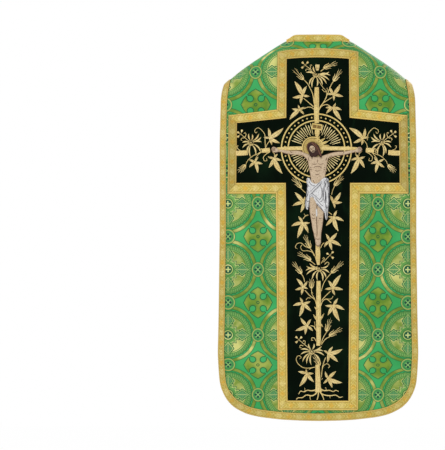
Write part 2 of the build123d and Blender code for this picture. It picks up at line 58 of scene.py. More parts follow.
_k = np.hanning(33)
_k /= _k.sum()
_sm = np.convolve(np.pad(_full, 16, mode="edge"), _k, mode="valid")
_sx = np.concatenate([-_tx[::-1][:-1], _tx])


def ridge(x):
    return np.interp(x, _sx, _sm)


def zc(x):
    return ridge(x) - R


def step(t):
    t = np.clip(t, 0, 1)
    return t * t * (3 - 2 * t)


def depth(side, x, z):
    """Distance of the cloth's outer face from the middle plane."""
    q = x / 0.3
    h = step((-0.06 - z) / 0.36)
    low = step((-0.42 - z) / 0.7)
    if side > 0:
        d = 0.0615 + 0.009 * h - 0.021 * h * q * q
        d = d + 0.0026 * low * np.sin(x * 27.0 + 1.4 + 1.2 * np.sin(z * 4.0)) * (0.35 + 0.65 * np.abs(q))
        d = d + 0.0012 * low * np.sin(x * 61.0 + z * 5.0)
        d = d - 0.006 * step((-0.85 - z) / 0.35)
    else:
        d = 0.0615 + 0.008 * h - 0.020 * h * q * q
        d = d + 0.0026 * low * np.sin(x * 25.0 - 0.7 + 1.1 * np.sin(z * 3.4 + 1.0)) * (0.35 + 0.65 * np.abs(q))
        d = d + 0.0012 * low * np.sin(x * 57.0 - z * 6.0)
        d = d - 0.004 * step((-0.85 - z) / 0.35)
    return d


def point_s(side, x, s):
    """Point of the outer face at x and at length s along the cloth from the ridge."""
    c = zc(x)
    th = np.clip(s / R, 0, math.pi / 2)
    on = s < ARC
    zl = c - (s - ARC)
    z = np.where(on, c + R * np.cos(th), zl)
    y = np.where(on, depth(side, x, c) * np.sin(th), depth(side, x, np.where(on, c, zl)))
    return np.stack([x, side * y, z], axis=-1)


def s_of_z(x, z):
    c = zc(x)
    return np.where(z > c, R * np.arccos(np.clip((z - c) / R, -1, 1)), ARC + c - z)


def z_of_s(x, s):
    c = zc(x)
    return np.where(s < ARC, c + R * np.cos(s / R), c - (s - ARC))


def flat_v(x, s):
    """Height on the flat cloth, which equals z on the hanging part."""
    return zc(x) + ARC - s


def lift_s(side, x, s, h):
    """The point h outside the cloth's outer face."""
    x = np.asarray(x, float)
    s = np.asarray(s, float)
    e = 0.0004
    p = point_s(side, x, s)
    dx = point_s(side, x + e, s) - point_s(side, x - e, s)
    ds = point_s(side, x, s + e) - point_s(side, x, np.maximum(s - e, 0))
    n = np.cross(dx, ds) * side
    n /= np.maximum(np.linalg.norm(n, axis=-1, keepdims=True), 1e-12)
    return p + n * np.asarray(h)[..., None]


def lift(side, x, z, h):
    x = np.asarray(x, float)
    z = np.asarray(z, float)
    return lift_s(side, x, s_of_z(x, z), h * np.ones_like(x))


# --------------------------------------------------------------------------
# Outlines, in metres, right half from the top down (as the cloths are cut).
# --------------------------------------------------------------------------
def mm(points):
    return np.array(points, float) / 1000


BACK_EDGE = mm([
    (285, 60), (285, -130), (287, -138), (291, -152), (294.5, -175), (296, -198.7), (297, -242), (299, -316),
    (299, -590), (300.4, -700), (302, -828), (303.5, -901), (305, -956), (302, -1011), (299, -1048), (293, -1066),
    (285, -1084), (273, -1103), (253, -1121), (216.5, -1139), (177, -1148), (110, -1155.5), (52, -1158.3), (0, -1159),
])
FRONT_EDGE = mm([
    (285, 60), (285, -130), (268, -141), (246, -156), (226, -174), (210, -193), (198, -214), (189.5, -239.4),
    (186, -262), (187, -290), (191, -320), (199, -352), (216, -395), (234, -428.5), (252, -480), (269, -535),
    (281, -585), (289, -621), (292, -660), (293, -709), (294, -800), (293, -900), (290, -960), (286, -1001),
    (283, -1020), (277, -1038), (268, -1056), (252.5, -1074.6), (231, -1093), (191.5, -1111), (150, -1120),
    (100, -1126), (50, -1127.7), (0, -1128),
])


def smooth_line(points, spacing=0.004, rounds=3, keep=2):
    """Even points along a polyline with its corners eased."""
    p = np.asarray(points, float)
    d = np.concatenate([[0], np.cumsum(np.linalg.norm(np.diff(p, axis=0), axis=1))])
    n = max(int(d[-1] / spacing), 2)
    t = np.linspace(0, d[-1], n + 1)
    q = np.stack([np.interp(t, d, p[:, i]) for i in range(p.shape[1])], axis=1)
    for _ in range(rounds * 4):
        q[1:-1] = 0.25 * q[:-2] + 0.5 * q[1:-1] + 0.25 * q[2:]
    return q


# eased versions; the first straight part above the tip is only there for clipping
BACK_EDGE_S = np.concatenate([BACK_EDGE[:1], smooth_line(BACK_EDGE[1:], 0.003, 4)])
FRONT_EDGE_S = np.concatenate([FRONT_EDGE[:1], smooth_line(FRONT_EDGE[1:], 0.003, 4)])


def edge_x(edge, z):
    """Half width of the cloth at height z, above the place where the hem corner starts."""
    zz = -edge[:, 1]
    order = np.argsort(zz, kind="stable")
    return np.interp(-np.asarray(z, float), zz[order], edge[order, 0])


def edge_bottom(edge, x, z_from):
    """Height of the hem at x."""
    part = edge[edge[:, 1] < z_from]
    order = np.argsort(part[:, 0], kind="stable")
    return np.interp(np.abs(x), part[order, 0], part[order, 1])


# --------------------------------------------------------------------------
# Mesh building
# --------------------------------------------------------------------------
class Mesh:
    def __init__(self):
        self.co, self.uv, self.w, self.faces, self.mat, self.n = [], [], [], [], [], 0

    def add(self, co, faces, uv, w=None, mat=0):
        co = np.asarray(co, float).reshape(-1, 3)
        uv = np.asarray(uv, float).reshape(-1, 2)
        w = np.zeros(len(co)) if w is None else np.asarray(w, float).ravel()
        self.co.append(co)
        self.uv.append(uv)
        self.w.append(w)
        for f in faces:
            self.faces.append([int(i) + self.n for i in f])
            self.mat.append(mat)
        self.n += len(co)

    def make(self, name, materials, merge=0.0, smooth=True):
        co = np.concatenate(self.co)
        uv = np.concatenate(self.uv)
        w = np.concatenate(self.w)
        me = bpy.data.meshes.new(name)
        me.from_pydata(co.tolist(), [], self.faces)
        me.polygons.foreach_set("material_index", np.array(self.mat, np.int32))
        me.polygons.foreach_set("use_smooth", np.full(len(self.faces), smooth))
        layer = me.uv_layers.new(name="UVMap")
        idx = np.zeros(len(me.loops), np.int32)
        me.loops.foreach_get("vertex_index", idx)
        layer.data.foreach_set("uv", uv[idx].astype(np.float32).ravel())
        a = me.attributes.new("edge", "FLOAT", "POINT")
        a.data.foreach_set("value", w.astype(np.float32))
        for m in materials:
            me.materials.append(m)
        me.update()
        me.validate()
        o = bpy.data.objects.new(name, me)
        bpy.context.scene.collection.objects.link(o)
        if merge > 0:
            import bmesh

            bm = bmesh.new()
            bm.from_mesh(me)
            bmesh.ops.remove_doubles(bm, verts=bm.verts, dist=merge)
            bmesh.ops.dissolve_degenerate(bm, dist=merge / 4, edges=bm.edges)
            bmesh.ops.recalc_face_normals(bm, faces=bm.faces)
            bm.to_mesh(me)
            bm.free()
        else:
            import bmesh

            bm = bmesh.new()
            bm.from_mesh(me)
            bmesh.ops.recalc_face_normals(bm, faces=bm.faces)
            bm.to_mesh(me)
            bm.free()
        return o


def grid_faces(rows, cols):
    i, j = np.meshgrid(np.arange(rows - 1), np.arange(cols - 1), indexing="ij")
    a = (i * cols + j).ravel()
    return np.stack([a, a + 1, a + cols + 1, a + cols], axis=1)


def closed_sheet(mesh, side, X, S, h_out, h_in, mat=0):
    """A closed thin sheet from grids of x and s."""
    rows, cols = X.shape
    out = lift_s(side, X, S, np.full(X.shape, h_out))
    inn = lift_s(side, X, S, np.full(X.shape, h_in))
    uv = np.stack([X, flat_v(X, S)], axis=-1)
    f = grid_faces(rows, cols)
    n = rows * cols
    mesh.add(
        np.concatenate([out.reshape(-1, 3), inn.reshape(-1, 3)]),
        np.concatenate([f, (f + n)[:, ::-1]]),
        np.concatenate([uv.reshape(-1, 2)] * 2),
        np.concatenate([np.zeros(n), np.ones(n)]),
        mat,
    )
    return n


def rim(faces, ids, n):
    for a, b in zip(ids[:-1], ids[1:]):
        faces.append([b, a, a + n, b + n])


def sheet_from_grids(name, side, grids, h_out, h_in, materials, holes=None):
    """One closed sheet out of several grids that share edges: welded, then rimmed."""
    import bmesh

    bm = bmesh.new()
    uvl = bm.loops.layers.uv.new("UVMap")
    layer = bm.verts.layers.float_vector.new("inner")
    data = []
    for X, S in grids:
        rows, cols = X.shape
        out = lift_s(side, X, S, np.full(X.shape, h_out)).reshape(-1, 3)
        uv = np.stack([X, flat_v(X, S)], axis=-1).reshape(-1, 2)
        inn = lift_s(side, X, S, np.full(X.shape, h_in)).reshape(-1, 3)
        vs = [bm.verts.new(c) for c in out]
        data.append((vs, uv, inn))
        for f in grid_faces(rows, cols):
            try:
                face = bm.faces.new([vs[i] for i in f])
            except ValueError:
                continue
            for loop, i in zip(face.loops, f):
                loop[uvl].uv = uv[i]
    for vs, uv, inn in data:
        for v, c in zip(vs, inn):
            v[layer] = Vector(c)
    bmesh.ops.remove_doubles(bm, verts=bm.verts, dist=0.00012)
    bmesh.ops.dissolve_degenerate(bm, dist=0.00002, edges=bm.edges)
    bmesh.ops.recalc_face_normals(bm, faces=bm.faces)
    # make the faces point outward
    bm.faces.ensure_lookup_table()
    total = sum((f.normal.dot(Vector((0, side, 0.2))) * f.calc_area()) for f in bm.faces)
    if total < 0:
        bmesh.ops.reverse_faces(bm, faces=bm.faces)
    top_faces = list(bm.faces)
    boundary = [e for e in bm.edges if e.is_boundary]
    copy = {}
    for v in list(bm.verts):
        nv = bm.verts.new(v[layer])
        nv[layer] = v[layer]
        copy[v] = nv
    for f in top_faces:
        loops = list(f.loops)[::-1]
        nf = bm.faces.new([copy[l.vert] for l in loops])
        for nl, l in zip(nf.loops, loops):
            nl[uvl].uv = l[uvl].uv
    for e in boundary:
        l = e.link_loops[0]
        a, b = l.vert, l.link_loop_next.vert
        ua, ub = l[uvl].uv.copy(), l.link_loop_next[uvl].uv.copy()
        nf = bm.faces.new([b, a, copy[a], copy[b]])
        for nl, u in zip(nf.loops, (ub, ua, ua, ub)):
            nl[uvl].uv = u
    bm.normal_update()
    for f in bm.faces:
        f.smooth = True
    me = bpy.data.meshes.new(name)
    bm.to_mesh(me)
    bm.free()
    if "inner" in me.attributes:
        me.attributes.remove(me.attributes["inner"])
    for m in materials:
        me.materials.append(m)
    o = bpy.data.objects.new(name, me)
    bpy.context.scene.collection.objects.link(o)
    me.set_sharp_from_angle(angle=math.radians(50))
    return o


def bisect_x(edge, side_s, lo=0.10, hi=0.32):
    """For each s, the x where the cloth's edge outline crosses the row at s."""
    s = np.asarray(side_s, float)
    a = np.full(s.shape, lo)
    b = np.full(s.shape, hi)
    for _ in range(44):
        m = (a + b) / 2
        g = m - edge_x(edge, z_of_s(m, s))
        a = np.where(g < 0, m, a)
        b = np.where(g < 0, b, m)
    return (a + b) / 2


def leg_rows(edge, z_stop, n_arch, n_slope, z_flat, n_flat):
    """Rows of the sheet from the ridge down, each as a function x -> s, with its half width."""
    rows = []
    for i in range(n_arch + 1):
        s = ARC * i / n_arch
        xe = float(bisect_x(edge, np.array([s]))[0])
        rows.append((xe, lambda x, s=s: np.full_like(x, s)))
    for i in range(1, n_slope + 1):
        t = i / n_slope

        def zrow(x, t=t):
            return zc(x) * (1 - t) + z_flat * t

        a, b = 0.10, 0.32
        for _ in range(40):
            m = (a + b) / 2
            if m - float(edge_x(edge, zrow(np.array([m]))[0])) < 0:
                a = m
            else:
                b = m
        rows.append(((a + b) / 2, lambda x, f=zrow: ARC + zc(x) - f(x)))
    for i in range(1, n_flat + 1):
        z = z_flat + (z_stop - z_flat) * i / n_flat
        rows.append((float(edge_x(edge, z)), lambda x, z=z: ARC + zc(x) - z))
    return rows


def grid_of(rows, u0, u1, cols, inner=None):
    """Grid over the given rows, from u0 (often -1) to u1 times each row's outer half width; inner is not used."""
    X, S = [], []
    for xe, f in rows:
        u = np.linspace(u0, u1, cols)
        x = u * xe
        X.append(x)
        S.append(f(x))
    return np.array(X), np.array(S)


def hem_grid(edge, z_from, cols, n, x_last):
    """The part of a panel with the rounded hem corners, in upright columns."""
    u = np.linspace(-1, 1, cols)
    x = u * x_last
    zb = edge_bottom(edge, np.abs(x), z_from + 1e-9)
    zb = np.where(np.abs(u) > 0.9999, z_from - 0.0004, np.minimum(zb, z_from - 0.0004))
    X, S = [], []
    for i in range(n + 1):
        t = i / n
        z = z_from * (1 - t) + zb * t
        X.append(x)
        S.append(ARC + zc(x) - z)
    return np.array(X), np.array(S)


# --------------------------------------------------------------------------
# Raised strips (braid, cords, satin stitch) laid out flat as (x, z)
# --------------------------------------------------------------------------
def strip(mesh, side, outer, inner, base, top, across=6, mat=0, v0=0.0, rim_to=None, round_ends=True, crown=0.25):
    """A braid between two lines of the same number of points.  u runs across in
    metres, v along in metres; the float attribute is -1..1 across."""
    outer = np.asarray(outer, float)
    inner = np.asarray(inner, float)
    mid = (outer + inner) / 2
    v = np.concatenate([[0], np.cumsum(np.linalg.norm(np.diff(mid, axis=0), axis=1))]) + v0
    width = np.linalg.norm(outer - inner, axis=1)
    t = np.linspace(-1, 1, across + 1)
    prof = [base]
    us = [-1.0]
    for k in t:
        us.append(k)
        prof.append(top - crown * (top - base) * abs(k) ** 4)
    us.append(1.0)
    prof.append(base)
    if rim_to is not None:
        prof[0] = rim_to
    us, prof = np.array(us), np.array(prof)
    n, m = len(mid), len(us)
    a = (1 - us[None, :, None]) / 2
    pts = outer[:, None, :] * a + inner[:, None, :] * (1 - a)
    H = np.broadcast_to(prof[None, :], (n, m))
    co = lift(side, pts[..., 0].ravel(), pts[..., 1].ravel(), 1.0 * H.ravel())
    uv = np.stack([np.broadcast_to(us[None, :] * 1.0, (n, m)) * width[:, None] / 2, np.broadcast_to(v[:, None], (n, m))], axis=-1)
    w = np.broadcast_to(us[None, :], (n, m))
    f = grid_faces(n, m).tolist()
    # underside
    for i in range(n - 1):
        a0, b0 = i * m, i * m + m - 1
        f.append([a0, a0 + m, b0 + m, b0])
    # ends
    f.append([i for i in range(m)])
    f.append([(n - 1) * m + i for i in range(m)][::-1])
    mesh.add(co, f, uv.reshape(-1, 2), w.ravel(), mat)
    return v[-1]


def lerp_line(a, b, n):
    t = np.linspace(0, 1, n + 1)[:, None]
    return np.asarray(a, float) * (1 - t) + np.asarray(b, float) * t


def ribbon(mesh, side, path, half, height, base, across=4, mat=0, shape=2.0, vscale=1.0, flat_top=False):
    """A padded satin-stitch or cord shape along a path: round across, sitting on base."""
    path = np.asarray(path, float)
    n = len(path)
    half = np.broadcast_to(np.asarray(half, float), (n,))
    height = np.broadcast_to(np.asarray(height, float), (n,))
    tan = np.gradient(path, axis=0)
    tan /= np.maximum(np.linalg.norm(tan, axis=1, keepdims=True), 1e-12)
    nor = np.stack([-tan[:, 1], tan[:, 0]], axis=1)
    u = np.linspace(-1, 1, 2 * across + 1)
    prof = (1 - np.abs(u) ** shape) ** (1 / shape if shape > 1 else 1)
    pts = path[:, None, :] + nor[:, None, :] * (u[None, :, None] * half[:, None, None])
    H = base + prof[None, :] * height[:, None]
    co = lift(side, pts[..., 0].ravel(), pts[..., 1].ravel(), H.ravel())
    v = np.concatenate([[0], np.cumsum(np.linalg.norm(np.diff(path, axis=0), axis=1))]) * vscale
    uv = np.stack([u[None, :] * half[:, None], np.broadcast_to(v[:, None], (n, len(u)))], axis=-1)
    w = np.broadcast_to(u[None, :], (n, len(u)))
    m = len(u)
    f = grid_faces(n, m).tolist()
    for i in range(n - 1):
        a0, b0 = i * m, i * m + m - 1
        f.append([a0, a0 + m, b0 + m, b0])
    f.append(list(range(m)))
    f.append([(n - 1) * m + i for i in range(m)][::-1])
    mesh.add(co, f, uv.reshape(-1, 2), w.ravel(), mat)


def curve(points, n=24):
    """A smooth line through control points (Catmull-Rom)."""
    p = np.asarray(points, float)
    if len(p) == 2:
        return lerp_line(p[0], p[1], max(n // 3, 3))
    p = np.concatenate([[2 * p[0] - p[1]], p, [2 * p[-1] - p[-2]]])
    out = []
    per = max(n // (len(p) - 3), 3)
    for i in range(1, len(p) - 2):
        t = np.linspace(0, 1, per, endpoint=False)[:, None]
        a, b, c, d = p[i - 1], p[i], p[i + 1], p[i + 2]
        out.append(0.5 * ((2 * b) + (-a + c) * t + (2 * a - 5 * b + 4 * c - d) * t**2 + (-a + 3 * b - 3 * c + d) * t**3))
    out.append(p[-2][None])
    return np.concatenate(out)


def lens(mesh, side, p0, p1, half, height, base, bend=0.0, n=12, mat=0, peak=0.42, blunt=0.0, across=4):
    """A pointed petal or leaf lobe from p0 to p1."""
    p0, p1 = np.asarray(p0, float), np.asarray(p1, float)
    d = p1 - p0
    nor = np.array([-d[1], d[0]])
    t = np.linspace(0, 1, n)
    path = p0 + d * t[:, None] + nor * (bend * np.sin(math.pi * t))[:, None]
    a = math.log(0.5) / math.log(peak)
    env = np.sin(math.pi * t**a) ** 0.9
    env = np.maximum(env, blunt * (1 - t) * 1.0)
    env = np.clip(env, 0.02, 1)
    ribbon(mesh, side, path, half * env, height * np.clip(env, 0.25, 1) ** 0.6, base, across, mat)


def dome(mesh, side, cx, cz, rx, rz, height, base, mat=0, rings=4, seg=14):
    co, uv, w, f = [], [], [], []
    pts = [(cx, cz, base + height)]
    for r in range(1, rings + 1):
        k = r / rings
        for i in range(seg):
            a = 2 * math.pi * i / seg
            pts.append((cx + rx * k * math.cos(a), cz + rz * k * math.sin(a), base + height * math.sqrt(max(0, 1 - k * k))))
    P = np.array(pts)
    co = lift(side, P[:, 0], P[:, 1], P[:, 2])
    for i in range(seg):
        f.append([0, 1 + i, 1 + (i + 1) % seg])
        for r in range(rings - 1):
            a0, b0 = 1 + r * seg + i, 1 + r * seg + (i + 1) % seg
            f.append([a0, a0 + seg, b0 + seg, b0])
    f.append([1 + (rings - 1) * seg + i for i in range(seg)][::-1])
    mesh.add(co, f, P[:, :2] - np.array([cx, cz]), np.zeros(len(P)), mat)


def rot(p, a):
    c, s = math.cos(a), math.sin(a)
    return np.array([p[0] * c - p[1] * s, p[0] * s + p[1] * c])


# --------------------------------------------------------------------------
# Node materials
# --------------------------------------------------------------------------
def lin(r, g, b):
    out = []
    for c in (r, g, b):
        c /= 255
        out.append(c / 12.92 if c <= 0.04045 else ((c + 0.055) / 1.055) ** 2.4)
    return (*out, 1.0)


class V:
    """A number in a node tree, with the usual arithmetic."""

    def __init__(self, nt, sock):
        self.nt, self.sock = nt, sock

    def op(self, name, *args, clamp=False):
        n = self.nt.nodes.new("ShaderNodeMath")
        n.operation = name
        n.use_clamp = clamp
        for i, a in enumerate([self, *args]):
            if isinstance(a, V):
                self.nt.links.new(a.sock, n.inputs[i])
            else:
                n.inputs[i].default_value = a
        return V(self.nt, n.outputs[0])

    def __add__(self, o):
        return self.op("ADD", o)

    __radd__ = __add__

    def __sub__(self, o):
        return self.op("SUBTRACT", o)

    def __rsub__(self, o):
        return (self * -1.0) + o

    def __mul__(self, o):
        return self.op("MULTIPLY", o)

    __rmul__ = __mul__

    def __truediv__(self, o):
        return self.op("DIVIDE", o)

    def abs(self):
        return self.op("ABSOLUTE")

    def min(self, o):
        return self.op("MINIMUM", o)

    def max(self, o):
        return self.op("MAXIMUM", o)

    def sin(self):
        return self.op("SINE")

    def cos(self):
        return self.op("COSINE")

    def sqrt(self):
        return self.op("SQRT")

    def pow(self, o):
        return self.op("POWER", o)

    def fract(self):
        return self.op("FRACT")

    def floor(self):
        return self.op("FLOOR")

    def sat(self):
        return self.op("ADD", 0.0, clamp=True)

    def ramp(self, a, b):
        """0 at a, 1 at b, smooth between."""
        n = self.nt.nodes.new("ShaderNodeMapRange")
        n.interpolation_type = "SMOOTHSTEP"
        self.nt.links.new(self.sock, n.inputs["Value"])
        n.inputs["From Min"].default_value = a
        n.inputs["From Max"].default_value = b
        n.inputs["To Min"].default_value = 0.0
        n.inputs["To Max"].default_value = 1.0
        return V(self.nt, n.outputs["Result"])

    def band(self, a, b, soft):
        return self.ramp(a - soft, a + soft) * (1.0 - self.ramp(b - soft, b + soft))


def hyp(a, b):
    return (a * a + b * b).sqrt()


class Mat:
    def __init__(self, name, flat=True):
        self.flat = flat
        self.m = bpy.data.materials.new(name)
        self.m.use_nodes = True
        self.nt = self.m.node_tree
        self.nt.nodes.clear()
        self.out = self.nt.nodes.new("ShaderNodeOutputMaterial")
        self.b = self.nt.nodes.new("ShaderNodeBsdfPrincipled")
        self.nt.links.new(self.b.outputs[0], self.out.inputs["Surface"])

    def uv(self):
        n = self.nt.nodes.new("ShaderNodeUVMap")
        n.uv_map = "UVMap"
        s = self.nt.nodes.new("ShaderNodeSeparateXYZ")
        self.nt.links.new(n.outputs[0], s.inputs[0])
        return V(self.nt, s.outputs[0]), V(self.nt, s.outputs[1])

    def attr(self, name):
        n = self.nt.nodes.new("ShaderNodeAttribute")
        n.attribute_name = name
        return V(self.nt, n.outputs["Fac"])

    def vec(self, x, y, z=0.0):
        n = self.nt.nodes.new("ShaderNodeCombineXYZ")
        for i, a in enumerate((x, y, z)):
            if isinstance(a, V):
                self.nt.links.new(a.sock, n.inputs[i])
            else:
                n.inputs[i].default_value = a
        return n.outputs[0]

    def noise(self, vec=None, scale=10.0, detail=3.0, rough=0.5):
        n = self.nt.nodes.new("ShaderNodeTexNoise")
        n.inputs["Scale"].default_value = scale
        n.inputs["Detail"].default_value = detail
        n.inputs["Roughness"].default_value = rough
        if vec is None and self.flat:
            c = self.nt.nodes.new("ShaderNodeUVMap")
            c.uv_map = "UVMap"
            vec = c.outputs[0]
        elif vec is None:
            c = self.nt.nodes.new("ShaderNodeTexCoord")
            vec = c.outputs["Object"]
        self.nt.links.new(vec, n.inputs["Vector"])
        return V(self.nt, n.outputs["Fac"])

    def mix(self, fac, a, b):
        n = self.nt.nodes.new("ShaderNodeMix")
        n.data_type = "RGBA"
        n.clamp_factor = True
        if isinstance(fac, V):
            self.nt.links.new(fac.sock, n.inputs["Factor"])
        else:
            n.inputs["Factor"].default_value = fac
        for key, v in (("A", a), ("B", b)):
            sock = [s for s in n.inputs if s.name == key and s.type == "RGBA"][0]
            if isinstance(v, tuple):
                sock.default_value = v
            else:
                self.nt.links.new(v, sock)
        return [s for s in n.outputs if s.type == "RGBA"][0]

    def shade(self, col, fac):
        """col times a number."""
        n = self.nt.nodes.new("ShaderNodeVectorMath")
        n.operation = "SCALE"
        self.nt.links.new(col, n.inputs[0])
        if isinstance(fac, V):
            self.nt.links.new(fac.sock, n.inputs["Scale"])
        else:
            n.inputs["Scale"].default_value = fac
        return n.outputs[0]

    def set(self, **kw):
        for k, v in kw.items():
            name = k.replace("_", " ")
            sock = self.b.inputs[name]
            if isinstance(v, V):
                self.nt.links.new(v.sock, sock)
            elif isinstance(v, bpy.types.NodeSocket):
                self.nt.links.new(v, sock)
            else:
                sock.default_value = v

    def bump(self, height, dist=0.0004, strength=1.0):
        n = self.nt.nodes.new("ShaderNodeBump")
        n.inputs["Distance"].default_value = dist
        n.inputs["Strength"].default_value = strength
        self.nt.links.new(height.sock, n.inputs["Height"])
        self.nt.links.new(n.outputs[0], self.b.inputs["Normal"])


def brocade_material(name, pitch_x, pitch_z, z0, spread=(1.0, 1.0), foot=0.0):
    """Jacquard: touching roundels, medallions where they meet and crosses
    between them, in gilt and dark green on bright green."""
    m = Mat(name)
    u, v = m.uv()
    wob = m.noise(scale=22.0, detail=2.0)
    low = (v * -1.0).ramp(0.10, 0.55)
    u = u * (1.0 / spread[0] + low * (1.0 / spread[1] - 1.0 / spread[0]))
    u = u + (wob - 0.5) * 0.0016
    v = v + (wob - 0.5) * -0.0014 - (v * -1.0).ramp(0.86, 1.12) * foot
    px = ((u / pitch_x).fract() - 0.5) * pitch_x
    pz = (((v - z0) / pitch_z + 0.5).fract() - 0.5) * pitch_z
    px, pz = px.abs() * 1000.0, pz.abs() * 1000.0
    hx, hz = pitch_x * 500, pitch_z * 500
    pze = pz * 0.985
    r = hyp(px, pze)
    t, s = px.max(pze), px.min(pze)

    ground = m.mix(m.noise(scale=9.0, detail=2.0).ramp(0.3, 0.7), lin(36, 144, 70), lin(56, 162, 90))
    dark = lin(16, 88, 42)
    cream = lin(206, 212, 130)
    # gilt thread: olive where it lies turned away, pale where it catches light
    glint = m.noise(scale=9.0, detail=1.5).ramp(0.52, 0.68)
    streak = m.noise(scale=30.0, detail=3.0).ramp(0.40, 0.62)
    gilt = m.mix(streak, lin(98, 128, 34), lin(130, 146, 54))
    gilt = m.mix(glint * (0.45 + 0.45 * streak), gilt, lin(218, 210, 130))
    soft_gilt = m.mix(glint * 0.6, lin(84, 134, 56), lin(164, 176, 100))

    # inner field of a roundel
    ang = V(m.nt, px.op("ARCTAN2", pze).sock)
    scallop = (ang * 36.0).sin() * 1.2
    edge = r + scallop
    field = 1.0 - edge.ramp(74.0, 75.4)
    speck = m.noise(m.vec(u, v), scale=520.0, detail=2.0, rough=0.7)
    fleck = speck.ramp(0.50, 0.60)
    fieldc = m.mix(speck.ramp(0.36, 0.64), lin(48, 116, 46), lin(96, 152, 70))
    fieldc = m.mix(m.noise(scale=13.0, detail=1.0).ramp(0.40, 0.72) * 0.5, fieldc, lin(120, 166, 84))
    ticks = ((ang * 64.0 + r * 0.35).sin() * 0.5 + 0.5) * r.band(62.6, 70.4, 0.6)
    fieldc = m.mix(ticks * 0.5, fieldc, lin(140, 178, 100))
    fieldc = m.mix(((ang * 64.0 + r * 0.35).sin() * -1.0).ramp(0.2, 0.8) * r.band(62.6, 70.4, 0.6) * 0.5, fieldc, lin(34, 98, 42))
    col = m.mix(field, ground, fieldc)
    col = m.mix(edge.band(73.2, 75.4, 0.5), col, dark)
    col = m.mix(edge.band(68.6, 71.4, 0.8) * fleck * 0.8, col, dark)
    col = m.mix(r.band(60.8, 62.0, 0.4) * 0.8, col, dark)
    col = m.mix(r.band(58.2, 60.4, 0.5), col, m.mix(glint, lin(112, 158, 72), lin(196, 206, 120)))
    col = m.mix(r.band(56.2, 57.6, 0.4), col, dark)
    inside = 1.0 - r.ramp(55.8, 56.6)
    # zigzag gilt figures on the diagonals
    d1 = (px + pze) * 0.70711
    d2 = ((px - pze) * 0.70711).abs()
    tri = ((d2 / 13.5).fract() - 0.5).abs() * 2.0
    zig = d1 - (29.0 + 8.5 * tri) + (d2 * 0.05)
    dia = (t - 44.0).abs() / 22.5 + s / 17.5
    zag = (zig * 0.09).min((dia - 1.10) * 1.0)
    brite = m.mix((glint * 0.72).max(streak * 0.35), lin(112, 138, 48), lin(218, 212, 130))
    col = m.mix(zag.ramp(-0.40, -0.30) * inside * dia.ramp(0.98, 1.02), col, lin(52, 128, 70))
    col = m.mix(zig.band(-5.0, -3.0, 0.4) * inside * dia.ramp(1.0, 1.06), col, cream)
    col = m.mix(zag.band(0.02, 0.10, 0.02) * inside, col, dark)
    col = m.mix(zig.band(-2.8, 0.4, 0.4) * inside * dia.ramp(0.98, 1.04), col, dark)
    col = m.mix(zag.ramp(0.06, 0.10) * inside, col, brite)
    col = m.mix(zag.band(0.10, 0.19, 0.03) * inside * 0.75, col, lin(214, 218, 140))
    # pointed panels on the four axes, dark with fine pale work
    panel = (1.0 - dia.ramp(1.0, 1.04)) * t.ramp(16.0, 17.4) * (1.0 - r.ramp(66.5, 67.2))
    loz = ((t + s * 1.3) * (math.pi / 5.2)).sin() * ((t - s * 1.3) * (math.pi / 5.2)).sin()
    work = m.mix(loz.ramp(-0.15, 0.45), lin(16, 104, 62), lin(64, 146, 84))
    work = m.mix((1.0 - loz.abs().ramp(0.03, 0.16)) * 0.55, work, cream)
    ridge_line = (1.0 - s.ramp(0.8, 1.7)) * t.ramp(20.0, 22.0)
    work = m.mix(ridge_line * 0.42, work, cream)
    col = m.mix(dia.band(0.98, 1.12, 0.03) * (1.0 - r.ramp(66.5, 67.2)) * t.ramp(16.0, 17.4), col, dark)
    col = m.mix(panel, col, work)
    col = m.mix(dia.band(0.82, 0.96, 0.03) * panel, col, m.mix(glint * 0.7, lin(132, 172, 88), cream))
    col = m.mix(dia.band(0.72, 0.79, 0.02) * panel * 0.8, col, dark)
    inner_lines = (((r - 22.0) / 7.5).fract()).band(0.40, 0.56, 0.06) * r.ramp(21.0, 23.0) * (1.0 - d1.ramp(24.0, 27.0)) * dia.ramp(1.12, 1.18)
    col = m.mix(inner_lines * 0.6, col, cream)
    bird = zag
    # boss in the middle of a roundel
    rc = hyp(px, pz)
    col = m.mix(1.0 - rc.ramp(17.2, 18.0), col, dark)
    col = m.mix(rc.band(12.4, 15.4, 0.4), col, m.mix(glint * 0.8, lin(164, 184, 100), lin(228, 230, 158)))
    col = m.mix(1.0 - rc.ramp(11.0, 11.8), col, lin(12, 78, 50))
    col = m.mix((1.0 - px.min(pz).ramp(1.3, 2.3)) * (1.0 - rc.ramp(7.6, 8.6)), col, lin(192, 206, 130))
    # the gilt hoop of a roundel
    col = m.mix(r.band(78.6, 91.0, 0.5), col, dark)
    col = m.mix(r.band(80.2, 89.4, 0.5), col, gilt)
    col = m.mix(r.band(87.2, 88.0, 0.3) * 0.4, col, dark)
